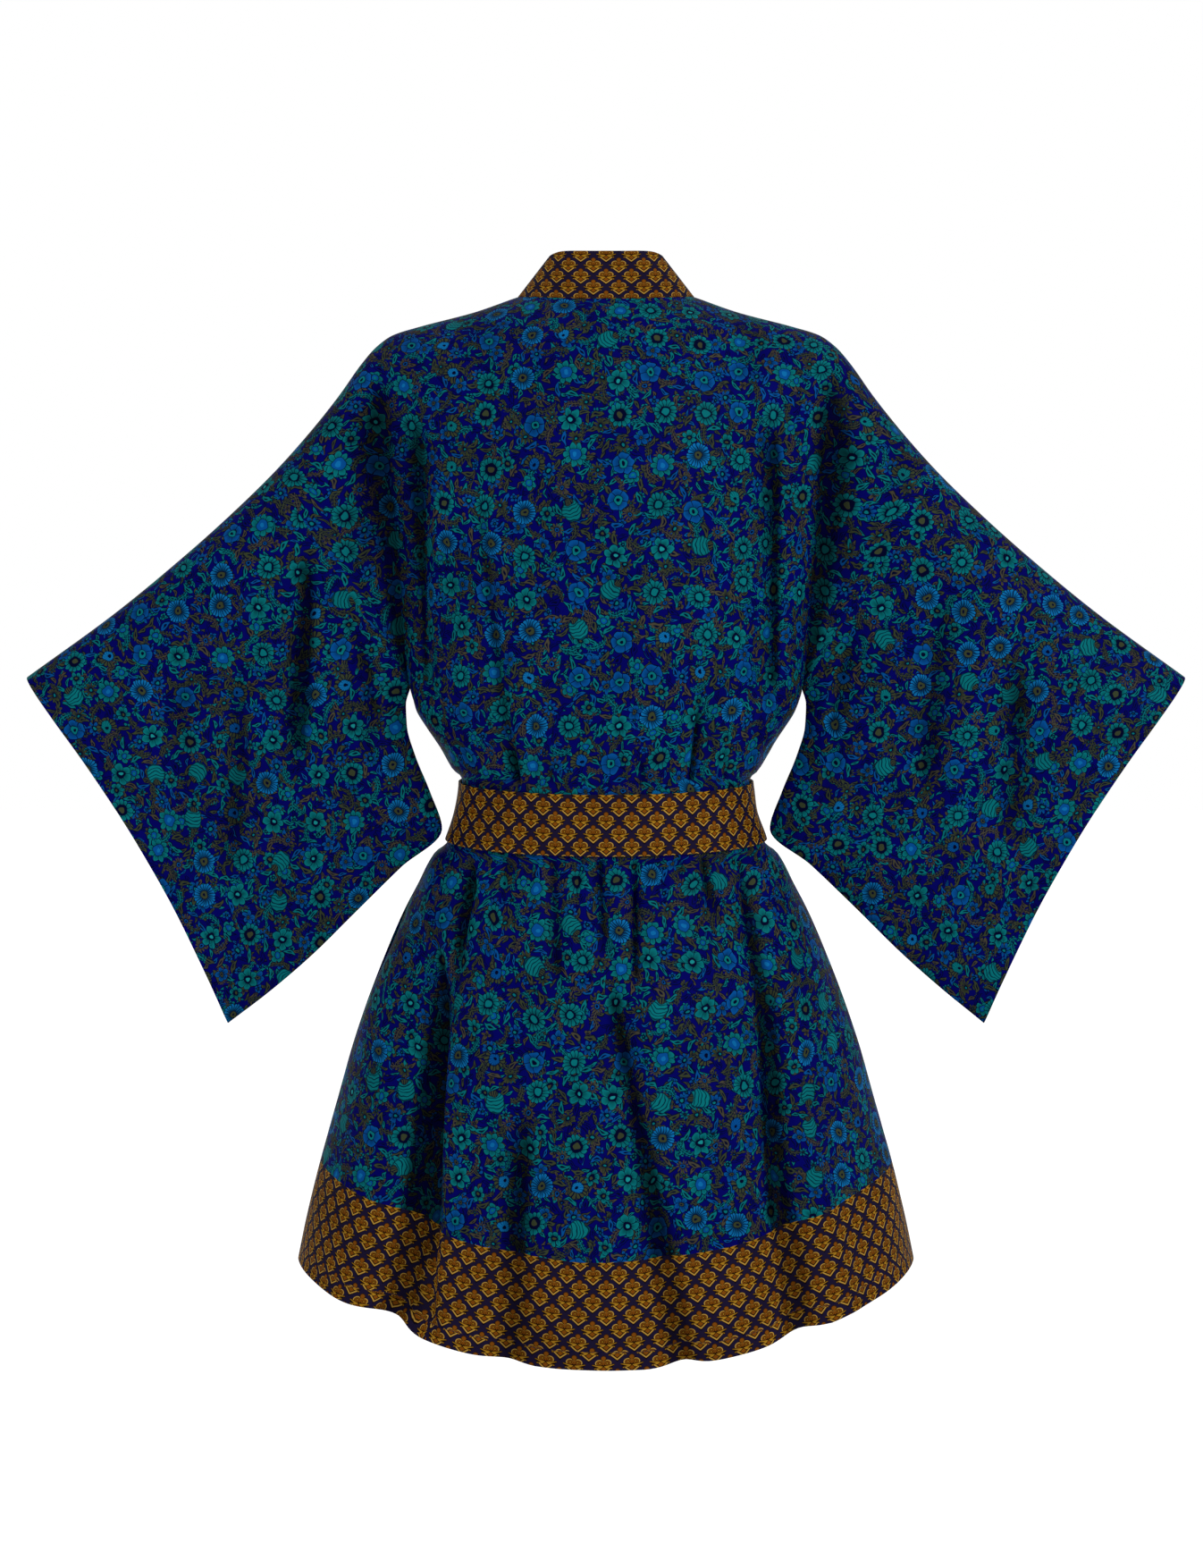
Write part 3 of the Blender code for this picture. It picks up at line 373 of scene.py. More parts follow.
def curve(keys: Array, values: Array, at: Array) -> Array:
    """Smooth curve through a table's points: a cubic between each two that never passes them by.

    The slope at a point is the harmonic mean of the slopes to its neighbours, and level where
    these differ in sign. Past the ends the curve is level.

    Args:
        keys: Where the points lie.
        values: The points' values.
        at: Where the curve is wanted.

    Returns:
        The curve's values there.
    """
    order = np.argsort(keys)
    keys = keys[order]
    values = values[order]
    secants = np.diff(values) / np.diff(keys)
    product = secants[1:] * secants[:-1]
    total = secants[1:] + secants[:-1]
    inner = np.where(product > 0.0, 2.0 * product / np.where(product > 0.0, total, 1.0), 0.0)
    slopes = np.concatenate([secants[:1], inner, secants[-1:]])
    first = np.clip(np.searchsorted(keys, at) - 1, 0, len(keys) - 2)
    step = keys[first + 1] - keys[first]
    part = np.clip((at - keys[first]) / step, 0.0, 1.0)
    rest = 1.0 - part
    return (
        rest * rest * (1.0 + 2.0 * part) * values[first]
        + part * part * (3.0 - 2.0 * part) * values[first + 1]
        + rest * rest * part * step * slopes[first]
        - part * part * rest * step * slopes[first + 1]
    )


def unit(vectors: Array) -> Array:
    """Vectors made one long."""
    return vectors / np.linalg.norm(vectors, axis=-1, keepdims=True)


def surface_normals(grid: Array, ring: bool = False) -> Array:
    """Normal at each grid point, square to its row and its column.

    Args:
        grid: Rows of points.
        ring: Whether each row closes on itself.

    Returns:
        Unit vectors, one for each point.
    """
    down = np.gradient(grid, axis=0)
    if ring:
        across = np.roll(grid, -1, axis=1) - np.roll(grid, 1, axis=1)
    else:
        across = np.gradient(grid, axis=1)
    return unit(np.cross(down, across))


def lie_in_plane(normals: Array, plane: Array) -> Array:
    """Normals turned into a seam's plane, so that two walls meet along it."""
    return unit(normals - (normals @ plane)[..., None] * plane)


def lengths_along(grid: Array, axis: int, parts: tuple[int, ...] = (0, 1, 2)) -> Array:
    """Distance travelled along a grid's rows or columns, from the first point.

    Args:
        grid: Rows of points.
        axis: 0 down the columns, 1 along the rows.
        parts: Which of x, y and z count.

    Returns:
        One length for each point.
    """
    steps = np.linalg.norm(np.diff(grid[..., list(parts)], axis=axis), axis=-1)
    start = np.zeros_like(np.take(steps, [0], axis=axis))
    return np.concatenate([start, np.cumsum(steps, axis=axis)], axis=axis)


def to_nearer_end(lengths: Array, axis: int) -> Array:
    """Distance to the nearer end of a column (axis 0) or a row (axis 1), from `lengths_along`."""
    return np.minimum(lengths, np.take(lengths, [-1], axis=axis) - lengths)


@dataclass
class Cloth:
    """A closed thin wall of cloth on a grid of points.

    Attributes:
        name: The piece's name.
        points: Its middle surface, rows x columns x 3.
        flat: Each point's place on the flat cloth in metres, rows x columns x 2; a ring has its
            first column again.
        seam: Each point's distance from the nearest sewn or turned edge.
        normals: The middle surface's normals.
        thickness: The wall's thickness.
        ring: Whether each row closes on itself.
        turned: Each point's distance from an edge that is turned up and stitched, if it has one.
    """

    name: str
    points: Array
    flat: Array
    seam: Array
    normals: Array
    thickness: float = 0.0010
    ring: bool = False
    turned: Array | None = None

    def __post_init__(self) -> None:
        """Turn the grid over where its normals point towards the middle of what it goes round."""
        if self.turned is None:
            self.turned = np.ones_like(self.seam)
        middle = self.points.mean(axis=1, keepdims=True) if self.ring else self.points * UP
        if (self.normals * (self.points - middle)).sum() < 0.0:
            self.normals = self.backwards(-self.normals)
            self.points = self.backwards(self.points)
            self.seam = self.backwards(self.seam)
            self.turned = self.backwards(self.turned)
            self.flat = self.flat[:, ::-1]

    def backwards(self, grid: Array) -> Array:
        """A grid with its columns the other way round; a ring keeps its first column."""
        return np.roll(grid[:, ::-1], 1, axis=1) if self.ring else grid[:, ::-1]

    def build(self, satin: bpy.types.Material, slot: str, stands_for: str) -> bpy.types.Object:
        """Make the wall: the two skins lie half the thickness to each side, and rims close them.

        Args:
            satin: The wall's material.
            slot: Not used.
            stands_for: The solid that the wall replaces.

        Returns:
            The finished piece.
        """
        rows, columns = self.points.shape[:2]
        outside = self.points + self.normals * self.thickness / 2
        inside = self.points - self.normals * self.thickness / 2
        vertices = np.concatenate([outside.reshape(-1, 3), inside.reshape(-1, 3)])
        index = np.arange(rows * columns).reshape(rows, columns)
        if self.ring:
            index = np.concatenate([index, index[:, :1]], axis=1)
        place = np.arange(index.size).reshape(index.shape)
        skin, skin_place = self.quads(index), self.quads(place)
        faces = [skin, skin[:, ::-1] + rows * columns]
        corners = [skin_place, skin_place[:, ::-1]]
        for picked in self.rims():
            rim, rim_place = index[picked], place[picked]
            under = rim + rows * columns
            faces.append(np.stack([rim[:-1], rim[1:], under[1:], under[:-1]], axis=-1))
            ends = [rim_place[:-1], rim_place[1:], rim_place[1:], rim_place[:-1]]
            corners.append(np.stack(ends, axis=-1))
        mesh = bpy.data.meshes.new(self.name)
        mesh.from_pydata(vertices.tolist(), [], np.concatenate(faces).tolist())
        self.lay_flat(mesh, self.flat.reshape(-1, 2)[np.concatenate(corners).ravel()])
        self.paint(mesh, "seam", np.tile(self.seam.ravel(), 2))
        self.paint(mesh, "turned", np.tile(self.turned.ravel(), 2))
        self.paint(mesh, "reverse", np.repeat([0.0, 1.0], rows * columns))
        # Painted shade in the folds for the material; the inside skin has none of it
        painted_shade_in_folds = self.painted_shade_in_folds().ravel()
        self.paint(mesh, "hollow", np.concatenate([painted_shade_in_folds, np.zeros_like(painted_shade_in_folds)]))
        return put_in_place(mesh, satin, stands_for)

    def painted_shade_in_folds(self) -> Array:
        """How far in a fold each point lies, from 0 to 1, for the painted shade that darkens it
        there.

        The depth is taken against the mean of the row's nearest points.

        Returns:
            One number for each point.
        """
        step = np.linalg.norm(np.diff(self.points, axis=1), axis=-1).mean()
        half = int(np.clip(FOLD_REACH / step, 2, self.points.shape[1] // 2 - 1))
        room = ((0, 0), (half, half), (0, 0))
        if self.ring:
            padded = np.pad(self.points, room, mode="wrap")
        else:
            padded = np.pad(self.points, room, mode="reflect", reflect_type="odd")
        total = np.cumsum(np.pad(padded, ((0, 0), (1, 0), (0, 0))), axis=1)
        mean = (total[:, 2 * half + 1:] - total[:, :-2 * half - 1]) / (2 * half + 1)
        depth = ((mean - self.points) * self.normals).sum(axis=-1)
        return np.clip(depth / FOLD_FULL_SHADE, 0.0, 1.0)

    def rims(self) -> list[tuple]:
        """Index of each open edge's points, in an order that makes the wall's rim face outwards.

        Returns:
            One index for each edge: two for a ring, and four otherwise.
        """
        whole, back = slice(None), slice(None, None, -1)
        ends = [(0, whole), (-1, back)]
        return ends if self.ring else ends + [(back, 0), (whole, -1)]

    @staticmethod
    def quads(grid: Array) -> Array:
        """Faces between each four neighbouring points, facing the grid's outer side."""
        corners = [grid[:-1, :-1], grid[1:, :-1], grid[1:, 1:], grid[:-1, 1:]]
        return np.stack(corners, axis=-1).reshape(-1, 4)

    @staticmethod
    def paint(mesh: bpy.types.Mesh, name: str, values: Array) -> None:
        """Store a number at each vertex for the material to read."""
        layer = mesh.attributes.new(name, "FLOAT", "POINT")
        layer.data.foreach_set("value", values.astype(np.float32))

    @staticmethod
    def lay_flat(mesh: bpy.types.Mesh, places: Array) -> None:
        """Store each face corner's place on the flat cloth."""
        layer = mesh.uv_layers.new(name="cloth")
        layer.data.foreach_set("uv", places.astype(np.float32).ravel())


def put_in_place(
    mesh: bpy.types.Mesh, satin: bpy.types.Material, stands_for: str
) -> bpy.types.Object:
    """Shade a mesh smooth, put it into the scene and tie it to the solid that it stands for.

    Args:
        mesh: The piece's mesh, already in place.
        satin: Its material.
        stands_for: The solid that the piece replaces.

    Returns:
        The piece's object, at the origin.
    """
    mesh.update()
    mesh.shade_smooth()
    mesh.set_sharp_from_angle(angle=SHARP_FROM)
    mesh.materials.append(satin)
    piece = bpy.data.objects.new(mesh.name, mesh)
    bpy.context.scene.collection.objects.link(piece)
    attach(piece, "root")
    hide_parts(stands_for)
    log.info("%s: %d faces, stands for %s", piece.name, len(mesh.polygons), stands_for)
    return piece


class Drape:
    """How the worn cloth hangs: the body's rings, the shoulder line, and the folds."""

    @staticmethod
    def shape(height: Array, facing: Facing) -> tuple[Array, Array]:
        """Half the width, and the depth on one side, of the body at a height."""
        half_width = curve(BODY["height"], BODY["half_width"], height)
        return half_width, curve(BODY["height"], BODY[facing.value + "_depth"], height)

    @staticmethod
    def front_edge(height: Array) -> Array:
        """x of the seam between the left front and the neckband."""
        return curve(FRONT_EDGE["height"], FRONT_EDGE["x"], height)

    @staticmethod
    def top_line(x: Array) -> Array:
        """Height of the shoulder and sleeve line at x."""
        return curve(TOP_LINE["x"], TOP_LINE["height"], np.abs(x))

    @classmethod
    def rise(cls, x: Array, z: Array) -> Array:
        """Share of its full depth that the cloth has reached below the shoulder: a quarter round.

        Args:
            x: Where, across.
            z: Where, up.

        Returns:
            A share from 0 to 1 at each point.
        """
        towards_arm = smoothstep((np.abs(x) - ROUNDING_CHANGES_FROM) / ROUNDING_CHANGES_OVER)
        rounding = blend(SHOULDER_ROUNDING, ARM_ROUNDING, towards_arm)
        left = 1.0 - np.clip((cls.top_line(x) - z) / rounding, 0.0, 1.0)
        return np.sqrt(1.0 - left * left)

    @classmethod
    def torso_depth(cls, x: Array, z: Array, facing: Facing) -> Array:
        """Depth of the body's ring at x: an ellipse of the width and depth at height z."""
        half_width, depth = cls.shape(z, facing)
        return depth * np.sqrt(np.clip(1.0 - (x / half_width) ** 2, 0.0, None))

    @staticmethod
    def arm_depth(x: Array, down: Array) -> Array:
        """Depth of the cloth over an arm: full under the top line, thinner and then closed below.

        Args:
            x: Where, across.
            down: The share of the way from the top line to the sleeve's underside.

        Returns:
            The depth at each point.
        """
        outwards = np.clip((np.abs(x) - ARMHOLE_TOP[0]) / (CUFF_TOP[0] - ARMHOLE_TOP[0]), 0.0, 1.0)
        full = blend(ARM_DEPTH_AT_ARMHOLE, ARM_DEPTH_AT_CUFF, outwards)
        section = np.clip(1.0 - down * down, 0.0, 1.0) ** ARM_SECTION_POWER
        return full * section * (1.0 - ARM_THINS_BY * down)

    @classmethod
    def cloth_depth(cls, x: Array, z: Array, facing: Facing, down: Array) -> Array:
        """Depth of the body's cloth: the cube root of torso cubed and arm cubed, times the rise.

        Args:
            x: Where, across.
            z: Where, up.
            facing: Back or front.
            down: The share of the way from the top line to the underarm.

        Returns:
            The depth at each point.
        """
        arm = cls.arm_depth(x, down) * smoothstep((np.abs(x) - ARM_BEGINS) / ARM_BLENDS_OVER)
        torso = cls.torso_depth(x, z, facing)
        return cls.rise(x, z) * np.cbrt(torso**3 + arm**3)

    @classmethod
    def front_surface(cls, x: Array, z: Array) -> Array:
        """y of the plain front: the body's cloth down to the underarm, and its rings below.

        Args:
            x: Where, across.
            z: Where, up.

        Returns:
            y at each point.
        """
        upper = cls.cloth_depth(np.abs(x), z, Facing.FRONT, np.zeros_like(x))
        lower = cls.torso_depth(x, z, Facing.FRONT)
        return -np.where(z > UNDERARM[1], upper, lower)

    @staticmethod
    def around(half_width: Array, depth: Array, turns: Array) -> tuple[Array, Array, Array]:
        """A ring's x = half width * sin(turn), y = depth * cos(turn), and its unit normals."""
        out = np.stack([np.sin(turns) / half_width, np.cos(turns) / depth], axis=-1)
        return half_width * np.sin(turns), depth * np.cos(turns), unit(out)

    @staticmethod
    def relief(folds: Table, x: Array, z: Array) -> Array:
        """How far the folds move the cloth outwards: a sum of soft troughs and ridges.

        Each is a bell curve across its line, as wide and deep there as its row says and `steep`
        times narrower on its lower-x side, which grows and fades with a soft S at the line's ends.

        Args:
            folds: Table of folds.
            x: Where, across.
            z: Where, up.

        Returns:
            The distance at each point.
        """
        total = np.zeros(np.broadcast(x, z).shape)
        rows = zip(*folds.values())
        for x_top, z_top, x_end, z_end, width_top, width_end, depth, grow, fade, steep in rows:
            length = z_top - z_end
            along = (z_top - z) / length
            centre = blend(x_top, x_end, along)
            width = blend(width_top, width_end, np.clip(along, 0.0, 1.0))
            aside = (x - centre) / width
            aside = np.where(aside < 0.0, aside * steep, aside)
            strength = smoothstep(along * length / grow) * smoothstep((1.0 - along) * length / fade)
            total += depth * strength * np.exp(-(aside**2))
        return total

    @staticmethod
    def ripple(x: Array, z: Array, depth: float) -> Array:
        """Slow unevenness of hanging cloth: the sum of the waves in the table of ripples.

        Args:
            x: Where, across.
            z: Where, up.
            depth: How far they move the cloth, about.

        Returns:
            The distance at each point.
        """
        total = 0.0
        for share, across, up, start in zip(*RIPPLES.values()):
            total = total + share * np.sin(across * x + up * z + start)
        return depth * total

    @staticmethod
    def gathers(x: Array, z: Array, from_height: float, reach: float, depth: float) -> Array:
        """Small uneven pleats that the sash draws in: waves across x that die out away from it.

        Two slower sines make their spacing wander, they spread out away from the sash, and each
        dies out exponentially over its own length, which two more sines vary.

        Args:
            x: Where, across.
            z: Where, up.
            from_height: The sash's edge.
            reach: Over what height a pleat fades, positive above the edge and negative below.
            depth: How deep a pleat is.

        Returns:
            The distance at each point.
        """
        away = (z - from_height) / reach
        own_reach = 1.0 + 0.55 * np.sin(83.0 * x + 1.0) + 0.30 * np.sin(191.0 * x)
        fading = np.exp(-np.clip(away, 0.0, None) / np.clip(own_reach, 0.25, None))
        strength = smoothstep(away * 7.0) * fading
        turns = 430.0 * x + 2.2 * np.sin(61.0 * x) + 1.4 * np.sin(143.0 * x + 1.0)
        pleats = np.sin(turns - 40.0 * x * away * reach)
        return np.where(away > 0.0, depth * strength * (pleats - 0.4), 0.0)

    @staticmethod
    def clear_of_sash(z: Array) -> Array:
        """1 away from the sash and 0 under it.

        Args:
            z: Where, up.

        Returns:
            A share at each height.
        """
        below = SASH_BOTTOM - SASH_BOTTOM_SAG - PRESSED_BELOW_SASH - z
        above = z - SASH_TOP - PRESSED_ABOVE_SASH
        return smoothstep(above / PRESSED_FADES_OVER) + smoothstep(below / PRESSED_FADES_OVER)


@dataclass
class Body:
    """The back, the two fronts and their hem bands.

    Rows run from the shoulder down to the hem seam. Above the underarm each column is straight
    from the shoulder, neck or armhole to the underarm row; below it the rows are rings.

    Attributes:
        back_columns: Columns across the back.
        neck_columns: How many of them start at the neck.
        front_columns: Columns across a front.
        rounding_share: The share of the way to the underarm over which the shoulder is rounded.
        rounding_rows: Rows over that share.
        straight_rows: Rows from there to the underarm.
        hem_rows: Rows of a hem band.
        ripple: Depth of the slow waves.
        gather_above: Reach and depth of the gathers above the sash.
        gather_below: Reach and depth of those below it.
        smooth_at_side: The share of a panel's width, at a side seam, where these fade out.
        smooth_at_overlap: Where they begin on the fronts, and the width over which they grow.
        seam_steps: How finely a hem band's seam is divided to lay out its print.
        seam_extra: By how many such steps it is run on at both ends.
    """

    back_columns: int = 184
    neck_columns: int = 48
    front_columns: int = 84
    rounding_share: float = 0.36
    rounding_rows: int = 26
    straight_rows: int = 44
    hem_rows: int = 24
    ripple: float = 0.0016
    gather_above: tuple[float, float] = (0.030, 0.0011)
    gather_below: tuple[float, float] = (-0.042, 0.0013)
    smooth_at_side: tuple[float, float] = (0.10, 0.12)
    smooth_at_overlap: tuple[float, float] = (0.070, 0.050)
    seam_steps: int = 16
    seam_extra: int = 160

    @property
    def steps(self) -> Array:
        """Shares of the way to the underarm of the rows above it.

        Returns:
            One share for each row: the cosines of even turns over the shoulder, and then even.
        """
        quarter = np.linspace(0.0, math.pi / 2, self.rounding_rows)
        straight = np.linspace(self.rounding_share, 1.0, self.straight_rows + 1)[1:]
        return np.concatenate([self.rounding_share * (1.0 - np.cos(quarter)), straight])

    @property
    def levels(self) -> Array:
        """Heights at the side seam of the rows from below the underarm to the hem seam."""
        rows = zip(*LOWER_ROWS.values())
        return np.concatenate([np.linspace(top, end, int(count))[1:] for top, end, count in rows])

    @property
    def hem_levels(self) -> Array:
        """Heights at the side seam of a hem band's rows."""
        return np.linspace(HEM_SEAM, HEM, self.hem_rows)

    def hem_drop(self, facing: Facing, level: Array, turns: Array) -> Array:
        """How far a row hangs below its level at the side seam: not at the sash, most at the hem.

        It grows as the power 1.5 of the way to the hem seam, in a straight line from there to the
        hem, and round the ring as the square of the turn's cosine.

        Args:
            facing: Back or front.
            level: The rows' heights at the side seam.
            turns: Angles round the ring.

        Returns:
            The drop at each point.
        """
        to_seam = np.clip((SASH_BOTTOM - level) / (SASH_BOTTOM - HEM_SEAM), 0.0, 1.0)
        past_seam = np.clip((HEM_SEAM - level) / (HEM_SEAM - HEM), 0.0, 1.0)
        seam_drop = HEM_SEAM_DROP[facing.value]
        drop = seam_drop * to_seam**1.5 + (HEM_DROP[facing.value] - seam_drop) * past_seam
        return drop * np.cos(turns) ** 2

    def layer(self, x: Array, side: Side | None) -> Array:
        """How far the left front stands out to lie over the right one.

        Args:
            x: Where, across.
            side: The front's side, or None on the back.

        Returns:
            The distance at each point, 0 on the other panels.
        """
        if side is not Side.LEFT:
            return np.zeros_like(x)
        return LAYER * smoothstep((LAYER_END - x) / LAYER_RUN)

    def fine_relief(self, x: Array, z: Array, inner: Array) -> Array:
        """Ripples and sash gathers.

        Args:
            x: Where, across.
            z: Where, up.
            inner: 1 inside the panel and 0 along its sewn edges.

        Returns:
            The distance at each point.
        """
        ripples = Drape.ripple(x, z, self.ripple) * Drape.clear_of_sash(z)
        above = Drape.gathers(x, z, SASH_TOP, *self.gather_above)
        below = Drape.gathers(x, z, SASH_BOTTOM - SASH_BOTTOM_SAG, *self.gather_below)
        return (ripples + above + below) * inner

    def lower_rows(
        self,
        levels: Array,
        turns: Array,
        facing: Facing,
        folds: Table,
        side: Side | None,
        inner: Array,
    ) -> Array:
        """Rows below the underarm: rings moved out by folds, ripples and the layer on top.

        Args:
            levels: The rows' heights at the side seam.
            turns: Angles round the ring, 0 at the middle and a quarter turn at a side.
            facing: Back or front.
            folds: Table of folds.
            side: The front's side, or None on the back.
            inner: 1 inside the panel and 0 along its sewn edges.

        Returns:
            The grid of points.
        """
        level = levels[:, None]
        x, y, out = Drape.around(*Drape.shape(level, facing), turns)
        z = level - self.hem_drop(facing, level, turns)
        moved = Drape.relief(folds, x, z)
        in_band = np.clip((HEM_SEAM - level) / (HEM_SEAM - HEM), 0.0, 1.0)
        lifted = z + HEM_LIFT_IN_FOLD * np.abs(moved) * in_band
        moved = moved + self.fine_relief(x, z, inner) + self.layer(x, side)
        y = facing.sign * (y + moved * out[..., 1])
        return np.stack([x + moved * out[..., 0], y, lifted], axis=-1)

    def back_layout(self) -> tuple[Array, Array, Array, Array]:
        """Tops of the back's columns: round the neck by a sine, then along the shoulder.

        Returns:
            For each column, x and height at its top, its place from -1 to 1, and whether it
            starts at the neck.
        """
        place = np.linspace(-1.0, 1.0, self.back_columns + 1)
        neck_share = self.neck_columns / self.back_columns
        in_neck = np.abs(place) <= neck_share + TINY
        past_neck = (np.abs(place) - neck_share) / (1.0 - neck_share)
        x = np.where(
            in_neck,
            NECK_X * np.sin(np.clip(place / neck_share, -1.0, 1.0) * math.pi / 2),
            np.sign(place) * blend(NECK_X, ARMHOLE_TOP[0], past_neck),
        )
        seam = blend(NECK_BACK_HEIGHT, NECK_HEIGHT, (x / NECK_X) ** 2)
        return x, np.where(in_neck, seam, Drape.top_line(x)), place, in_neck

    def back_grids(self) -> tuple[Array, Array]:
        """Middle surfaces of the back panel and of its hem band.

        Above the underarm a point's depth is the cloth's depth there plus folds and ripples, which
        fade out towards the shoulder.

        Returns:
            The panel's points and the band's.
        """
        x_top, z_top, place, _ = self.back_layout()
        turns = place * math.pi / 2
        inner = smoothstep((1.0 - np.abs(place)) / self.smooth_at_side[0])
        step = self.steps[:, None]
        x = blend(x_top, UNDERARM[0] * np.sin(turns), step)
        z = blend(z_top, UNDERARM[1], step)
        below_shoulder = smoothstep((Drape.top_line(x) - z) / SHOULDER_FREE_OF_FOLDS)
        moved = (Drape.relief(BACK_FOLDS, x, z) + self.fine_relief(x, z, inner)) * below_shoulder
        y = Drape.cloth_depth(x, z, Facing.BACK, step) + moved
        upper = np.stack([x, np.maximum(y, 0.0), z], axis=-1)
        lower = self.lower_rows(self.levels, turns, Facing.BACK, BACK_FOLDS, None, inner)
        hem = self.lower_rows(self.hem_levels, turns, Facing.BACK, BACK_FOLDS, None, inner)
        return np.concatenate([upper, lower]), hem

    def front_inner(self, x: Array, place: Array) -> Array:
        """1 inside a front and 0 at its side seam and where the two fronts overlap."""
        from_overlap = (x - self.smooth_at_overlap[0]) / self.smooth_at_overlap[1]
        return smoothstep(place / self.smooth_at_side[1]) * smoothstep(from_overlap)

    def front_rows(self, levels: Array, side: Side) -> Array:
        """Rows of a front below the underarm, from the side seam to the neckband's seam.

        Args:
            levels: The rows' heights at the side seam.
            side: Whose side the front is on.

        Returns:
            The grid of points.
        """
        half_width, _ = Drape.shape(levels, Facing.FRONT)
        at_edge = np.arcsin(Drape.front_edge(levels) / half_width)[:, None]
        place = np.linspace(0.0, 1.0, self.front_columns + 1)
        turns = blend(math.pi / 2, at_edge, place)
        inner = self.front_inner(half_width[:, None] * np.sin(turns), place)
        grid = self.lower_rows(levels, turns, Facing.FRONT, FRONT_FOLDS[side], side, inner)
        return grid * np.array([side.sign, 1.0, 1.0])

    def front_grids(self, side: Side) -> tuple[Array, Array]:
        """Middle surfaces of a front and of its hem band, from the side seam to the neckband.

        Args:
            side: Whose side the front is on.

        Returns:
            The panel's points and the band's.
        """
        place = np.linspace(0.0, 1.0, self.front_columns + 1)
        step = self.steps[:, None]
        x_top = blend(ARMHOLE_TOP[0], NECK_X, place)
        turn_at_edge = math.asin(Drape.front_edge(np.array(UNDERARM[1])) / UNDERARM[0])
        x_low = UNDERARM[0] * np.sin(blend(math.pi / 2, turn_at_edge, place))
        x = blend(x_top, x_low, step)
        z = blend(Drape.top_line(x_top), UNDERARM[1], step)
        x = x + (Drape.front_edge(z[:, -1:]) - x[:, -1:]) * place
        below_shoulder = smoothstep((Drape.top_line(x) - z) / SHOULDER_FREE_OF_FOLDS)
        inner = self.front_inner(x, place)
        moved = Drape.relief(FRONT_FOLDS[side], x, z) + self.fine_relief(x, z, inner)
        moved = moved * below_shoulder
        moved = moved + self.layer(x, side) * smoothstep((LAYER_BEGINS - z) / LAYER_GROWS_OVER)
        y = -Drape.cloth_depth(x, z, Facing.FRONT, step) - moved
        upper = np.stack([side.sign * x, np.minimum(y, 0.0), z], axis=-1)
        panel = np.concatenate([upper, self.front_rows(self.levels, side)])
        return panel, self.front_rows(self.hem_levels, side)

    def flatten(self, grid: Array, middle: int) -> Array:
        """Place of each point on the flat cloth, with the print upright.

        Across is the level distance along the row from the middle column, and up is the distance
        along the column, sideways moves left out, from the underarm's row.

        Args:
            grid: The panel's points.
            middle: The column from which widths are counted.

        Returns:
            Two lengths for each point.
        """
        across = lengths_along(grid, 1, (0, 1))
        across = across - across[:, middle:middle + 1]
        down = lengths_along(grid, 0, (1, 2))
        underarm = len(self.steps) - 1
        return np.stack([across, UNDERARM[1] + down[underarm:underarm + 1] - down], axis=-1)

    def flatten_band(self, grid: Array, middle: int) -> Array:
        """Place of each point on the flat hem band, with the print square to its seam.

        The band is unrolled with its heights kept. A point's place is how far along the seam its
        nearest point lies, from the middle column, and how far below that it is. The seam is run on
        straight at both ends, because the lower rows reach further.

        Args:
            grid: The band's points, from the seam down.
            middle: The column from which lengths are counted.

        Returns:
            Two lengths for each point.
        """
        across = lengths_along(grid, 1, (0, 1))
        unrolled = np.stack([across - across[:, middle:middle + 1], grid[..., 2]], axis=-1)
        columns = np.arange(grid.shape[1])
        between = np.linspace(0.0, columns[-1], self.seam_steps * columns[-1] + 1)
        parts = [np.interp(between, columns, unrolled[0, :, part]) for part in (0, 1)]
        seam = np.stack(parts, axis=-1)
        steps = np.arange(1, self.seam_extra + 1)[:, None]
        before = seam[0] + (seam[0] - seam[1]) * steps[::-1]
        after = seam[-1] + (seam[-1] - seam[-2]) * steps
        seam = np.concatenate([before, seam, after])
        travelled = lengths_along(seam[None], 1, (0, 1))[0]
        travelled = travelled - travelled[self.seam_extra + self.seam_steps * middle]
        flat = np.zeros_like(unrolled)
        for row, points in enumerate(unrolled):
            away = np.linalg.norm(points[:, None] - seam, axis=-1)
            flat[row, :, 0] = travelled[away.argmin(axis=1)]
            flat[row, :, 1] = -away.min(axis=1)
        return flat

    def normals(self, grid: Array, sides: list[tuple[int, Side]], on_shoulder: Array) -> Array:
        """Normals of a panel, turned into the planes of its seams.

        Args:
            grid: The panel's points.
            sides: Its side columns and whose side each is.
            on_shoulder: Which columns start on the shoulder line.

        Returns:
            Unit vectors, one for each point.
        """
        normals = surface_normals(grid)
        underarm = len(self.steps) - 1
        normals[0, on_shoulder] = lie_in_plane(normals[0, on_shoulder], FORE_AND_AFT)
        for column, side in sides:
            armhole = Sleeve(side).armhole_normal()
            normals[:underarm, column] = lie_in_plane(normals[:underarm, column], armhole)
            normals[underarm:, column] = lie_in_plane(normals[underarm:, column], FORE_AND_AFT)
        normals[-1] = lie_in_plane(normals[-1], UP)
        return normals

    def band_normals(self, grid: Array, columns: list[int]) -> Array:
        """Normals of a hem band, level at its seam and square to the side seams.

        Args:
            grid: The band's points, from the seam down.
            columns: Its columns on a side seam.

        Returns:
            Unit vectors, one for each point.
        """
        normals = surface_normals(grid)
        normals[0] = lie_in_plane(normals[0], UP)
        for column in columns:
            normals[:, column] = lie_in_plane(normals[:, column], FORE_AND_AFT)
        return normals

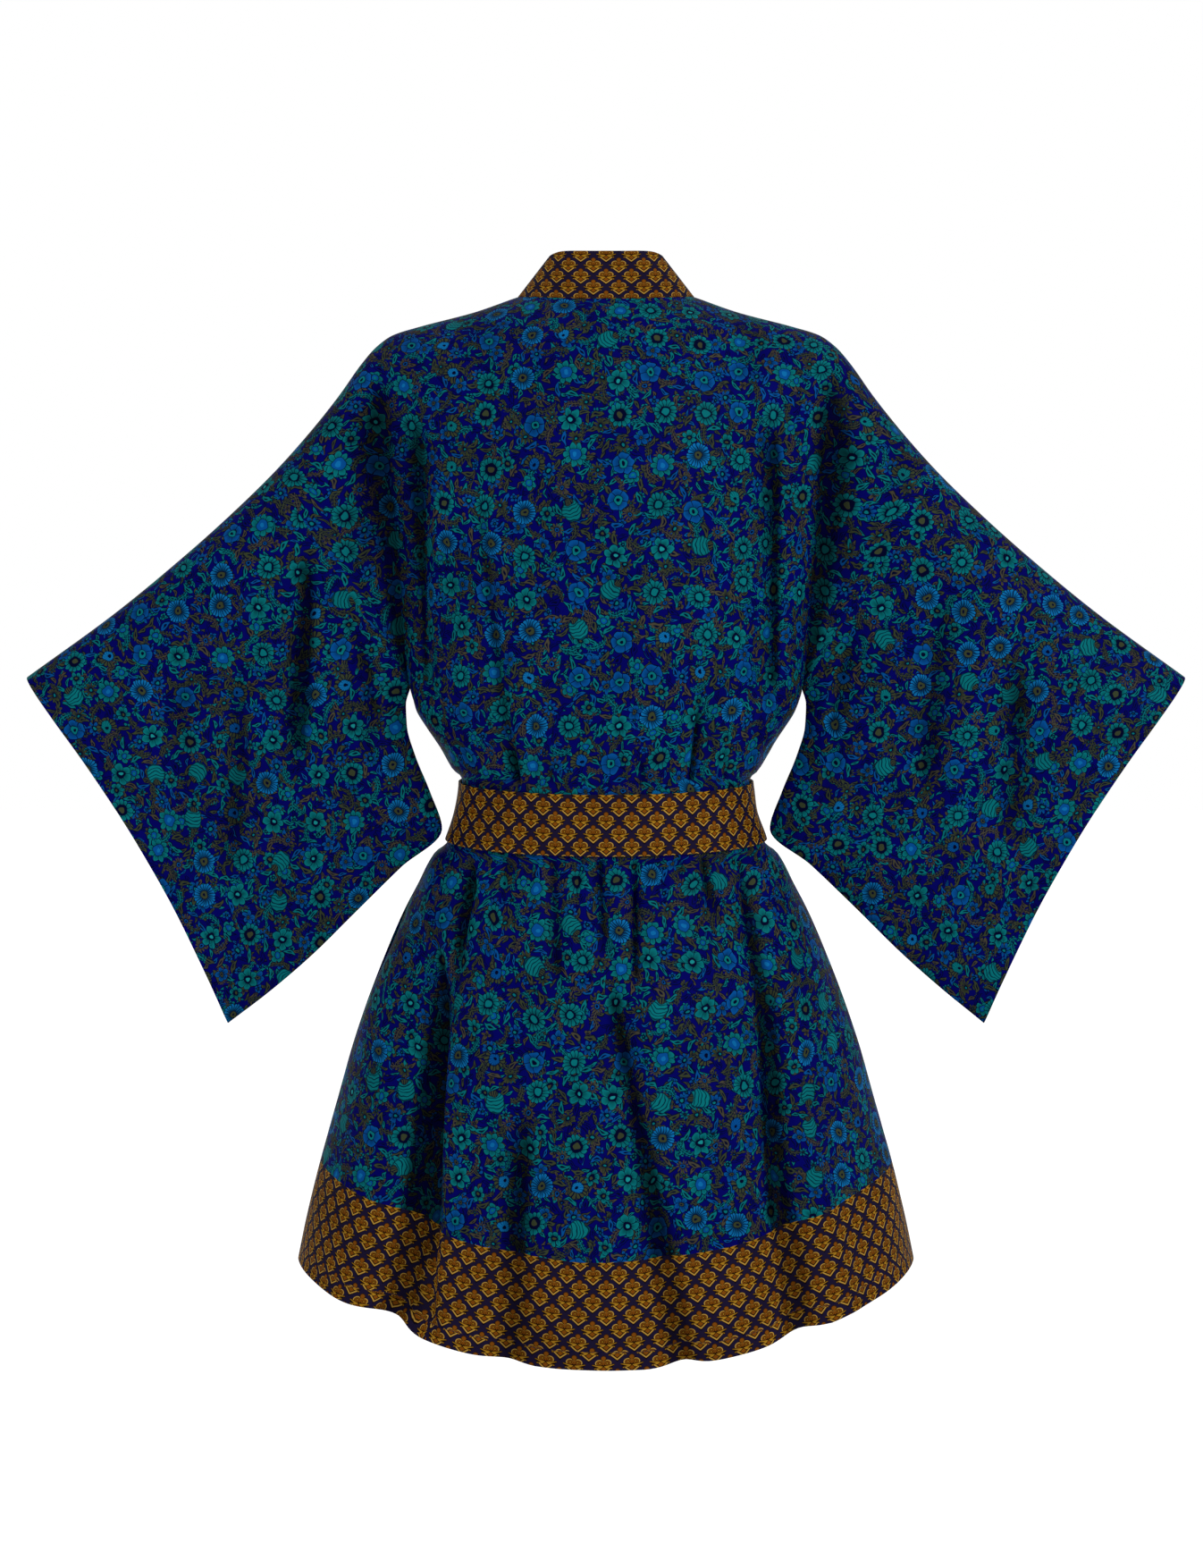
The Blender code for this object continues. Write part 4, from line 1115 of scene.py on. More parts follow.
    def dress(self, floral: bpy.types.Material, gold: bpy.types.Material) -> None:
        """Build the back, the fronts and the hem bands.

        Args:
            floral: The panels' material.
            gold: The hem bands' material.
        """
        _, _, _, in_neck = self.back_layout()
        panel, hem = self.back_grids()
        middle = self.back_columns // 2
        columns = self.back_columns + 1
        sides = [(0, Side.RIGHT), (columns - 1, Side.LEFT)]
        self.panel("back", panel, middle, sides, ~in_neck, floral)
        self.hem_band("hem_back", hem, middle, [0, columns - 1], gold)
        for side in Side:
            panel, hem = self.front_grids(side)
            shoulder = np.full(self.front_columns + 1, True)
            self.panel("front_" + side.value, panel, 0, [(0, side)], shoulder, floral)
            self.hem_band("hem_front_" + side.value, hem, 0, [0], gold)

    def panel(
        self,
        node: str,
        grid: Array,
        middle: int,
        sides: list[tuple[int, Side]],
        on_shoulder: Array,
        satin: bpy.types.Material,
    ) -> None:
        """Build one body panel.

        Args:
            node: The solid that it stands for.
            grid: Its middle surface.
            middle: The column from which the print is laid out.
            sides: Its side columns and whose side each is.
            on_shoulder: Which columns start on the shoulder line.
            satin: Its material.
        """
        along = lengths_along(grid, 1)
        down = lengths_along(grid, 0)
        seam = np.minimum(to_nearer_end(along, 1), down[-1:] - down)
        seam = np.where(on_shoulder, seam, np.minimum(seam, down))
        normals = self.normals(grid, sides, on_shoulder)
        cloth = Cloth(node + "_cloth", grid, self.flatten(grid, middle), seam, normals)
        piece = cloth.build(satin, "floral_satin", node)

    def hem_band(
        self, node: str, grid: Array, middle: int, sides: list[int], satin: bpy.types.Material
    ) -> None:
        """Build one hem band; its print follows the band.

        Args:
            node: The solid that it stands for.
            grid: Its middle surface.
            middle: The column from which the print is laid out.
            sides: Its columns on a side seam.
            satin: Its material.
        """
        down = lengths_along(grid, 0)
        flat = self.flatten_band(grid, middle)
        normals = self.band_normals(grid, sides)
        seam, turned = to_nearer_end(down, 0), down[-1:] - down
        cloth = Cloth(node + "_cloth", grid, flat, seam, normals, turned=turned)
        piece = cloth.build(satin, "gold_satin", node)


@dataclass
class Sleeve:
    """One wide sleeve: a tube from the armhole to the open cuff, closed below the underarm.

    Attributes:
        side: Whose side it is on.
        along_rows: How many rings it has.
        around: How many columns it has behind, and again in front.
        evenness: How evenly these lie; the rest draws them together at top and underside.
        ripple: Depth of the slow waves.
        ripple_offset: How far along they are taken, so that they differ from the body's.
        fan: Depth of the ripples that fan out from the armhole.
        fan_limit: The most that these may reach.
        fan_fades: From which x, and over what length, they fade.
    """

    side: Side
    along_rows: int = 92
    around: int = 104
    evenness: float = 0.3
    ripple: float = 0.0015
    ripple_offset: float = 0.2
    fan: float = 0.0010
    fan_limit: float = 0.0012
    fan_fades: tuple[float, float] = (0.18, 0.070)

    def armhole_normal(self) -> Array:
        """Unit vector across the armhole seam, away from the body."""
        along = np.array([UNDERARM[0] - ARMHOLE_TOP[0], 0.0, UNDERARM[1] - ARMHOLE_TOP[1]])
        return unit(np.array([-along[2] * self.side.sign, 0.0, along[0]]))

    def grid(self) -> Array:
        """Middle surface of the sleeve.

        Each ring runs from the top line down behind to the lower outline and up again in front.
        Its depth is the arm's depth times the rise below the top line, plus the folds. The cuff is
        hollowed by a parabola.

        Returns:
            The grid of points, whose rows close on themselves.
        """
        even = np.linspace(0.0, 1.0, self.around + 1)
        drawn = (1.0 - self.evenness) * (1.0 - np.cos(math.pi * even)) / 2.0
        steps = self.evenness * even + drawn
        down = np.concatenate([steps, steps[-2:0:-1]])
        facing = np.concatenate([np.ones(len(steps)), -np.ones(len(steps) - 2)])
        along = np.linspace(0.0, 1.0, self.along_rows)[:, None]
        x_top = blend(ARMHOLE_TOP[0], CUFF_TOP[0], along)
        z_top = Drape.top_line(x_top)
        x_low = curve(SLEEVE_UNDERSIDE["along"], SLEEVE_UNDERSIDE["x"], along)
        z_low = curve(SLEEVE_UNDERSIDE["along"], SLEEVE_UNDERSIDE["height"], along)
        past_corner = np.clip((along - SLEEVE_CORNER_ALONG) / (1.0 - SLEEVE_CORNER_ALONG), 0.0, 1.0)
        z_low = z_low + UNDERSIDE_RISE[self.side.value] * 4.0 * past_corner * (1.0 - past_corner)
        cuff = unit(np.array([CUFF_BOTTOM[0] - CUFF_TOP[0], CUFF_BOTTOM[1] - CUFF_TOP[1]]))
        hollow = CUFF_HOLLOW * 4.0 * down * (1.0 - down) * along**2
        x = blend(x_top, x_low, down) + cuff[1] * hollow
        z = blend(z_top, z_low, down) - cuff[0] * hollow
        from_edges = smoothstep(down / SLEEVE_EDGE_FREE)
        from_edges = from_edges * smoothstep((1.0 - down) / SLEEVE_EDGE_FREE)
        from_edges = from_edges * smoothstep(along / SLEEVE_SEAM_FREE)
        moved = (Drape.relief(SLEEVE_FOLDS[self.side], x, z) + self.fine_relief(x, z)) * from_edges
        y = facing * (Drape.arm_depth(x, down) * Drape.rise(x, z) + moved)
        return np.stack([self.side.sign * x, y, z], axis=-1)

    def fine_relief(self, x: Array, z: Array) -> Array:
        """Ripples down the sleeve, and a few that fan out from the armhole and die out along it.

        The fan is a sine of x less a share of z, with a second sine in it, times an exponential.

        Args:
            x: Where, across.
            z: Where, up.

        Returns:
            The distance at each point.
        """
        fades_from, fades_over = self.fan_fades
        waves = np.sin(240.0 * (x - 0.6 * z) + 3.0 * np.sin(30.0 * z))
        fan = self.fan * waves * np.exp(-(x - fades_from) / fades_over)
        ripple = Drape.ripple(x + self.ripple_offset, z, self.ripple)
        return ripple + np.clip(fan, -self.fan_limit, self.fan_limit)

    def flatten(self, grid: Array) -> Array:
        """Place of each point on the flat cloth, with the print upright.

        Each ring is unrolled from its top point, in the upright plane, by the distance travelled.

        Args:
            grid: The sleeve's points.

        Returns:
            Two lengths for each point, and for the first column again.
        """
        closed = np.concatenate([grid, grid[:, :1]], axis=1)
        travelled = lengths_along(closed, 1)
        from_top = to_nearer_end(travelled, 1)
        top = grid[:, :1, [0, 2]]
        low = grid[:, self.around:self.around + 1, [0, 2]]
        return top + unit(low - top) * from_top[..., None]

    def dress(self, floral: bpy.types.Material) -> None:
        """Build the sleeve.

        Args:
            floral: Its material.
        """
        points = self.grid()
        normals = surface_normals(points, ring=True)
        normals[0] = lie_in_plane(normals[0], self.armhole_normal())
        along = lengths_along(points, 0)
        from_cuff, seam = along[-1:] - along, to_nearer_end(along, 0)
        flat = self.flatten(points)
        node = "sleeve_" + self.side.value
        cloth = Cloth(node + "_cloth", points, flat, seam, normals, ring=True, turned=from_cuff)
        piece = cloth.build(floral, "floral_satin", node)


@dataclass
class Neckband:
    """The long band that stands up round the neck and lies on the fronts below.

    Attributes:
        body: The panels that it is sewn to.
        strips: How many strips it has across.
        thickness: Of its double cloth.
    """

    body: Body
    strips: int = 18
    thickness: float = 0.0014

    def seam(self) -> Array:
        """The line up the right front, round the back of the neck and down the left front.

        Returns:
            Its points, in that order.
        """
        edges = {}
        for side in Side:
            panel, hem = self.body.front_grids(side)
            edges[side] = np.concatenate([panel[:, -1], hem[1:, -1]])
        back, _ = self.body.back_grids()
        _, _, _, in_neck = self.body.back_layout()
        return np.concatenate([edges[Side.RIGHT][::-1], back[0, in_neck][1:-1], edges[Side.LEFT]])

    def grid(self) -> Array:
        """Middle surface: a blend of a band that stands up and one that lies on the fronts.

        The first leans in towards the neck's axis and is a little narrower at its upper corners.
        The second runs square to the seam, in the fronts' own surface.

        Returns:
            The grid of points, whose rows run across the band.
        """
        seam = self.seam()
        level = np.zeros(len(seam))
        across = blend(BAND_GAP, BAND, np.linspace(0.0, 1.0, self.strips + 1))[:, None]
        to_axis = unit(np.stack([-seam[:, 0], NECK_AXIS_Y - seam[:, 1], level], axis=-1))
        sideways = np.clip(np.abs(seam[:, :1]) / NECK_X, 0.0, 1.0) ** 2
        lean = blend(BAND_LEAN_BACK, BAND_LEAN_SIDE, sideways)
        standing = to_axis * np.sin(lean) + UP * np.cos(lean)
        trimmed = 1.0 - BAND_CORNER / BAND * np.exp(-((seam[:, 1:2] / BAND_CORNER_WIDTH) ** 2))
        stood_up = seam[:, None] + standing[:, None] * (across * trimmed[:, None])
        slope = smoothstep((seam[:, 2] - BAND_LEVEL_BELOW) / BAND_LEVELS_OVER)
        along = np.gradient(seam, axis=0)
        tangent = unit(np.stack([along[:, 0] * slope, level, along[:, 2]], axis=-1))
        lying = seam[:, None] + np.cross(FORE_AND_AFT, tangent)[:, None] * across
        out_by = Drape.front_surface(seam[:, 0], seam[:, 2]) - seam[:, 1]
        lying[..., 1] = Drape.front_surface(lying[..., 0], lying[..., 2]) - out_by[:, None]
        laid = smoothstep((NECK_HEIGHT - seam[:, 2]) / (NECK_HEIGHT - BAND_LIES_FLAT_BELOW))
        laid = np.where(seam[:, 1] > 0.0, 0.0, laid)[:, None, None]
        return blend(stood_up, lying, laid)

    def dress(self, gold: bpy.types.Material) -> None:
        """Build the band; its print stands up across it.

        Args:
            gold: Its material.
        """
        points = self.grid()
        along = lengths_along(points, 0)
        along = along - along[len(along) // 2]
        across = lengths_along(points, 1)
        flat = np.stack([-along, across], axis=-1)
        normals, seam = surface_normals(points), to_nearer_end(across, 1)
        cloth = Cloth("neckband_cloth", points, flat, seam, normals, thickness=self.thickness)
        piece = cloth.build(gold, "gold_satin", "neckband")


@dataclass(frozen=True)
class Tail:
    """One of the sash's hanging ends.

    Attributes:
        x_top: Where its middle leaves the knot.
        x_open: Where its middle is once it has opened out.
        x_end: Where its middle ends.
        z_end: The height of its end.
        slant: How much lower its end is on one side.
        cut: Its length as cut.
    """

    x_top: float
    x_open: float
    x_end: float
    z_end: float
    slant: float
    cut: float


TAILS = {
    Side.LEFT: Tail(0.0200, 0.0340, 0.0440, -0.7800, 0.016, 0.32),
    Side.RIGHT: Tail(-0.0120, -0.0240, -0.0320, -0.7280, -0.014, 0.27),
}


@dataclass
class Sash:
    """The sash: its ring round the waist, its knot and its two hanging tails.

    Attributes:
        columns: Points round the ring.
        rows: Points down it.
        crease: Depth of its creases.
        thickness: Of the ring's cloth.
        knot_points: Points round the knot, and from its edge to its middle.
        knot_x: Where the knot's middle lies.
        knot_width: How wide the knot is.
        knot_depth: How far it stands out.
        knot_height: The share of the ring's width that it fills.
        knot_roundness: The power that makes its outline a rounded square.
        knot_pleat: Depth of its pleats.
        knot_back_step: Its flat back has one ring for so many of its front's.
        knot_clearance: How far its back lies clear of the ring.
        knot_from_seam: How far its cloth counts as lying from a seam, so that it doesn't pucker.
        wrap_half_width: Of the band that wraps it.
        wrap_depth: How far the wrap stands out.
        wrap_edge: Over what width the wrap rises, where its pleats begin, and over what width.
        wrap_pleat: Depth of the wrap's pleats, and their radians a metre.
        tail_points: Points down a tail, and across it.
        tail_drop: How far below the ring's lower edge a tail begins.
        tail_width: How wide a tail hangs.
        tail_width_at_knot: How narrow it leaves the knot.
        tail_spread: Over what length it opens out.
        tail_sway: How far it swings to and fro.
        tail_pleat: Depth of its pleats at the knot.
        tail_curl: Depth of its waves further down.
        tail_clearance: How far it hangs clear of the fronts.
        tail_thickness: Of its cloth.
    """

    columns: int = 240
    rows: int = 14
    crease: float = 0.0004
    thickness: float = 0.0018
    knot_points: tuple[int, int] = (120, 34)
    knot_x: float = 0.004
    knot_width: float = 0.060
    knot_depth: float = 0.022
    knot_height: float = 0.97
    knot_roundness: float = 0.7
    knot_pleat: float = 0.0010
    knot_back_step: int = 6
    knot_clearance: float = 0.0005
    knot_from_seam: float = 0.03
    wrap_half_width: float = 0.019
    wrap_depth: float = 0.004
    wrap_edge: tuple[float, float, float] = (0.003, 0.002, 0.004)
    wrap_pleat: tuple[float, float] = (0.0007, 900.0)
    tail_points: tuple[int, int] = (110, 25)
    tail_drop: float = 0.0005
    tail_width: float = 0.050
    tail_width_at_knot: float = 0.027
    tail_spread: float = 0.070
    tail_sway: float = 0.004
    tail_pleat: float = 0.0030
    tail_curl: float = 0.0006
    tail_clearance: float = 0.0016
    tail_thickness: float = 0.0016

    def ring(self) -> Array:
        """Middle surface of the ring: outside the cloth by both half walls and a clearance.

        In front it also lies outside the left front's layer. Its creases are a sine down the sash
        times a sine round it.

        Returns:
            The grid of points, whose rows close on themselves.
        """
        turns = np.linspace(-math.pi, math.pi, self.columns, endpoint=False)
        down = np.linspace(0.0, 1.0, self.rows)[:, None]
        behind = np.cos(turns / 2.0) ** 2
        top = SASH_TOP - SASH_TOP_SAG * behind
        level = blend(top, SASH_BOTTOM - SASH_BOTTOM_SAG * behind, down)
        half_width, back_depth = Drape.shape(level, Facing.BACK)
        _, front_depth = Drape.shape(level, Facing.FRONT)
        depth = np.where(np.cos(turns) > 0.0, back_depth, front_depth)
        x, y, out = Drape.around(half_width, depth, turns)
        left_end, left_run = SASH_LAYER_END["left"]
        right_end, right_run = SASH_LAYER_END["right"]
        over_layer = smoothstep((left_end - x) / left_run) * smoothstep((x + right_end) / right_run)
        lift = WALL / 2 + SASH_CLEARANCE + SASH_WALL / 2
        lift = lift + LAYER * over_layer * smoothstep(-np.cos(turns) * 4.0)
        creases = np.sin(9.0 * down + 3.0 * np.sin(3.0 * turns)) * np.sin(5.0 * turns + 1.0)
        lift = lift + self.crease * creases
        return np.stack([x + lift * out[..., 0], y + lift * out[..., 1], level], axis=-1)

    def dress_ring(self, gold: bpy.types.Material) -> None:
        """Build the ring.

        Args:
            gold: Its material.
        """
        points = self.ring()
        closed = np.concatenate([points, points[:, :1]], axis=1)
        around = lengths_along(closed, 1)
        behind = self.columns // 2
        around = around - around[:, behind:behind + 1]
        down = lengths_along(closed, 0)
        flat = np.stack([around, -down], axis=-1)
        seam = to_nearer_end(down, 0)[:, :-1]
        normals = surface_normals(points, ring=True)
        thickness = self.thickness
        cloth = Cloth("sash_cloth", points, flat, seam, normals, thickness=thickness, ring=True)
        piece = cloth.build(gold, "gold_satin", "belt")

    def face(self, x: Array, z: Array) -> Array:
        """y just clear of the ring's outer face at the front.

        Args:
            x: Where, across.
            z: Where, up.

        Returns:
            y at each point.
        """
        half_width, depth = Drape.shape(z, Facing.FRONT)
        aside = (x / half_width) ** 2
        out_by = WALL / 2 + SASH_CLEARANCE + SASH_WALL + LAYER + self.knot_clearance
        return -(depth * np.sqrt(1.0 - aside) + out_by * (1.0 + 0.5 * aside))

    def knot(self) -> Array:
        """Surface of the knot: a pleated lump with a wrap over it, and its flat back.

        Each ring is a rounded square, a share of the knot's outline, moved out by
        depth * sqrt(1 - share cubed), by small pleats, and by the wrap near the middle.

        Returns:
            The grid of points, whose rows close on themselves.
        """
        spokes = np.linspace(0.0, 2.0 * math.pi, self.knot_points[0], endpoint=False)
        shares = np.sin(np.linspace(0.03, 0.5, self.knot_points[1]) * math.pi)[:, None]
        square = [
            np.sign(wave) * np.abs(wave) ** self.knot_roundness
            for wave in (np.cos(spokes), np.sin(spokes))
        ]
        half_height = (SASH_TOP - SASH_BOTTOM) / 2 * self.knot_height
        x = self.knot_x + shares * self.knot_width / 2 * square[0]
        z = (SASH_TOP + SASH_BOTTOM) / 2 + shares * half_height * square[1]
        bulge = self.knot_depth * np.sqrt(np.clip(1.0 - shares**3, 0.0, None))
        pleats = self.knot_pleat * np.cos(9.0 * spokes)
        pleats = pleats * smoothstep(shares) * smoothstep((1.0 - shares) * 8.0)
        from_middle = np.abs(x - self.knot_x)
        from_edge = smoothstep((1.0 - shares) * 6.0)
        inside_wrap = self.wrap_half_width - from_middle
        rises_over, pleats_from, pleats_over = self.wrap_edge
        wrap = self.wrap_depth * smoothstep(inside_wrap / rises_over) * from_edge
        wrap_pleats = self.wrap_pleat[0] * np.sin((x - self.knot_x) * self.wrap_pleat[1])
        wrap_pleats = wrap_pleats * smoothstep((inside_wrap - pleats_from) / pleats_over)
        proud = bulge + pleats + wrap + wrap_pleats * from_edge
        front = np.stack([x, self.face(x, z) - proud, z], axis=-1)
        back = np.stack([x, self.face(x, z), z], axis=-1)[-2::-self.knot_back_step]
        return np.concatenate([front, back])

    def dress_knot(self, gold: bpy.types.Material) -> None:
        """Build the knot, closed by a face at each end of its rings.

        Args:
            gold: Its material.
        """
        rings = self.knot()
        index = np.arange(rings.shape[0] * rings.shape[1]).reshape(rings.shape[:2])
        index = np.concatenate([index, index[:, :1]], axis=1)
        caps = [index[0, :-1].tolist(), index[-1, :-1][::-1].tolist()]
        mesh = bpy.data.meshes.new("sash_knot_cloth")
        mesh.from_pydata(rings.reshape(-1, 3).tolist(), [], Cloth.quads(index).tolist() + caps)
        corner = np.zeros(len(mesh.loops), np.int32)
        mesh.loops.foreach_get("vertex_index", corner)
        places = rings.reshape(-1, 3)[:, [0, 2]]
        Cloth.lay_flat(mesh, places[corner])
        Cloth.paint(mesh, "seam", np.full(len(places), self.knot_from_seam))
        Cloth.paint(mesh, "reverse", np.zeros(len(places)))
        put_in_place(mesh, gold, "belt_knot")

    def tail(self, sizes: Tail) -> Array:
        """Middle surface of a tail, pleated where it leaves the knot and flat further down.

        Its middle sways by a growing sine. Two pleats, a cosine across it, give way to slow waves.

        Args:
            sizes: Where it hangs.

        Returns:
            The grid of points.
        """
        z_top = SASH_BOTTOM - self.tail_drop
        rows, columns = self.tail_points
        along = np.linspace(0.0, 1.0, rows)[:, None]
        across = np.linspace(-0.5, 0.5, columns)
        length = z_top - sizes.z_end
        opened = smoothstep(along * length / self.tail_spread)
        width = blend(self.tail_width_at_knot, self.tail_width, opened)
        sway = self.tail_sway * np.sin(along * 2.0 * math.pi) * along
        middle = blend(sizes.x_top, sizes.x_open, opened)
        x = middle + (sizes.x_end - sizes.x_open) * along + sway + width * across
        z = z_top - length * along + sizes.slant * across * along
        pleats = self.tail_pleat * (1.0 - opened) * (0.5 + 0.5 * np.cos(across * 4.0 * math.pi))
        curl = self.tail_curl * (1.0 + np.sin(16.0 * along + 5.0 * across)) * opened
        out_by = WALL / 2 + LAYER + self.tail_clearance + SASH_WALL / 2 + pleats + curl
        return np.stack([x, Drape.front_surface(x, z) - out_by, z], axis=-1)

    def dress_tails(self, gold: bpy.types.Material) -> None:
        """Build both tails.

        Args:
            gold: Their material.
        """
        for side, sizes in TAILS.items():
            points = self.tail(sizes)
            across, down = lengths_along(points, 1), lengths_along(points, 0)
            flat = np.stack([across, -down], axis=-1)
            seam = np.minimum(to_nearer_end(across, 1), down[-1:] - down)
            normals, thickness = surface_normals(points), self.tail_thickness
            node = "belt_tail_" + side.value
            cloth = Cloth(node + "_cloth", points, flat, seam, normals, thickness=thickness)
            piece = cloth.build(gold, "gold_satin", node)

    def dress(self, gold: bpy.types.Material) -> None:
        """Build the knot, the ring and the tails.

        Args:
            gold: Their material.
        """
        self.dress_knot(gold)
        self.dress_ring(gold)
        self.dress_tails(gold)


class Graph:
    """Shader nodes of one material, so that a print can be written as plain formulas."""

    def __init__(self, name: str) -> None:
        """Start an empty material.

        Args:
            name: Its name.
        """
        self.material: bpy.types.Material = bpy.data.materials.new(name)
        self.material.use_nodes = True
        self.tree: bpy.types.NodeTree = self.material.node_tree
        self.tree.nodes.clear()

    def node(self, kind: str, feeds: Feeds, **settings: object) -> bpy.types.Node:
        """Add a node.

        Args:
            kind: Its type, without the word ShaderNode.
            feeds: What goes into its inputs, by name or number: fields or constants.
            settings: Its own options.

        Returns:
            The node.
        """
        made = self.tree.nodes.new("ShaderNode" + kind)
        for name, setting in settings.items():
            setattr(made, name, setting)
        for name, value in feeds.items():
            if isinstance(value, Field):
                self.tree.links.new(value.socket, made.inputs[name])
            else:
                made.inputs[name].default_value = value
        return made

    def field(
        self, kind: str, feeds: Feeds, output: int | str = 0, **settings: object
    ) -> "Field":
        """Add a node, as `node` does, and take the output of this name or number."""
        return Field(self, self.node(kind, feeds, **settings).outputs[output])

    def math(self, operation: str, *values: object, clamp: bool = False) -> "Field":
        """One step of arithmetic."""
        return self.field("Math", dict(enumerate(values)), operation=operation, use_clamp=clamp)

    def vectors(self, operation: str, *values: object, output: str = "Vector") -> "Field":
        """One step of arithmetic on vectors."""
        return self.field("VectorMath", dict(enumerate(values)), output, operation=operation)

    def turned(self, vector: "Field", angle: object) -> "Field":
        """A vector turned about z."""
        feeds = {"Vector": vector, "Angle": angle}
        return self.field("VectorRotate", feeds, rotation_type="Z_AXIS")

    def vector(self, x: object, y: object) -> "Field":
        """Two numbers as one vector."""
        return self.field("CombineXYZ", {"X": x, "Y": y})

    def parts(self, vector: "Field") -> tuple["Field", "Field", "Field"]:
        """A vector's three numbers."""
        made = self.node("SeparateXYZ", {0: vector})
        return tuple(Field(self, socket) for socket in made.outputs)

    def mix(self, share: object, first: object, second: object) -> "Field":
        """The first colour where the share is 0 and the second where it is 1."""
        return self.field("Mix", {"Factor": share, 6: first, 7: second}, 2, data_type="RGBA")

    def scaled(self, share: "Field", colour: "Field") -> "Field":
        """A colour made darker or lighter."""
        return self.field("VectorMath", {0: colour, "Scale": share}, operation="SCALE")

    def steps(self, choice: "Field", *rows: Colour) -> "Field":
        """One of several rows of numbers.

        Args:
            choice: A number from 0 to 1, which is cut into equal steps.
            rows: The rows to choose from.

        Returns:
            The chosen row at each point.
        """
        made = self.node("ValToRGB", {"Fac": choice})
        ramp = made.color_ramp
        ramp.interpolation = "CONSTANT"
        for number, row in enumerate(rows):
            place = number / len(rows)
            stop = ramp.elements[number] if number < 2 else ramp.elements.new(place)
            stop.position = place
            stop.color = row
        return Field(self, made.outputs["Color"])

    def attribute(self, name: str) -> "Field":
        """A number stored at the mesh's vertices."""
        return self.field("Attribute", {}, "Fac", attribute_name=name)

    def cloth_place(self) -> tuple["Field", "Field"]:
        """Place on the flat cloth, in millimetres."""
        across, up, _ = self.parts(self.field("UVMap", {}, uv_map="cloth"))
        return across * MILLIMETRES, up * MILLIMETRES

    def noise(
        self, place: "Field", scale: float = 1.0, detail: float = 1.0, output: str = "Fac"
    ) -> "Field":
        """Smooth noise: a number from 0 to 1, or a colour of three."""
        feeds = {"Vector": place, "Scale": scale, "Detail": detail}
        return self.field("TexNoise", feeds, output, noise_dimensions="2D")

    def surface(self, feeds: Feeds) -> bpy.types.Material:
        """Finish the material with a surface that these values go into."""
        self.node("OutputMaterial", {"Surface": self.field("BsdfPrincipled", feeds)})
        return self.material


@dataclass(frozen=True)
class Field:
    """A number, vector or colour that varies over the cloth: one output of a shader node."""

    graph: Graph
    socket: bpy.types.NodeSocket

    def __add__(self, other: object) -> "Field":
        """Sum."""
        return self.graph.math("ADD", self, other)

    def __radd__(self, other: object) -> "Field":
        """Sum."""
        return self.graph.math("ADD", other, self)

    def __sub__(self, other: object) -> "Field":
        """Difference."""
        return self.graph.math("SUBTRACT", self, other)

    def __rsub__(self, other: object) -> "Field":
        """Difference."""
        return self.graph.math("SUBTRACT", other, self)

    def __mul__(self, other: object) -> "Field":
        """Product."""
        return self.graph.math("MULTIPLY", self, other)

    def __truediv__(self, other: object) -> "Field":
        """Quotient."""
        return self.graph.math("DIVIDE", self, other)

    def __abs__(self) -> "Field":
        """Size without its sign."""
        return self.graph.math("ABSOLUTE", self)

    def sin(self) -> "Field":
        """Sine."""
        return self.graph.math("SINE", self)

    def cos(self) -> "Field":
        """Cosine."""
        return self.graph.math("COSINE", self)

    def fract(self) -> "Field":
        """Part past the whole one."""
        return self.graph.math("FRACT", self)

    def root(self) -> "Field":
        """Square root."""
        return self.graph.math("SQRT", self)

    def below(self, edge: object, sharp: float = 3.0) -> "Field":
        """1 below an edge and 0 above it."""
        return self.over(edge, -sharp)

    def over(self, edge: object, sharp: float = 3.0) -> "Field":
        """1 above an edge and 0 below it.

        Args:
            edge: A field or a constant.
            sharp: One over the width of the change.

        Returns:
            A number from 0 to 1.
        """
        if isinstance(edge, Field):
            return self.graph.math("MULTIPLY_ADD", self - edge, sharp, 0.5, clamp=True)
        return self.graph.math("MULTIPLY_ADD", self, sharp, 0.5 - sharp * edge, clamp=True)

    def larger(self, other: object) -> "Field":
        """The larger of two."""
        return self.graph.math("MAXIMUM", self, other)

    def smaller(self, other: object) -> "Field":
        """The smaller of two."""
        return self.graph.math("MINIMUM", self, other)

    def length_with(self, other: "Field") -> "Field":
        """Length of the vector that two numbers make."""
        return (self * self + other * other).root()


class Dye(Enum):
    """Colours of the prints, linear."""

    NAVY = (0.0013, 0.0016, 0.115)
    INK = (0.0008, 0.0020, 0.022)
    TEAL = (0.0020, 0.155, 0.175)
    LIGHT_TEAL = (0.0100, 0.260, 0.270)
    AZURE = (0.0016, 0.072, 0.280)
    CYAN = (0.0040, 0.145, 0.390)
    OLIVE = (0.040, 0.052, 0.024)
    TAUPE = (0.062, 0.056, 0.034)
    GOLD = (0.355, 0.177, 0.012)
    PALE_GOLD = (0.465, 0.268, 0.045)
    ORANGE = (0.195, 0.059, 0.004)
    BROWN = (0.022, 0.008, 0.002)
    PLUM = (0.0110, 0.0075, 0.0290)
    BLACK = (0.0024, 0.0015, 0.0048)

    @property
    def colour(self) -> Colour:
        """Red, green, blue and one."""
        return (*self.value, 1.0)


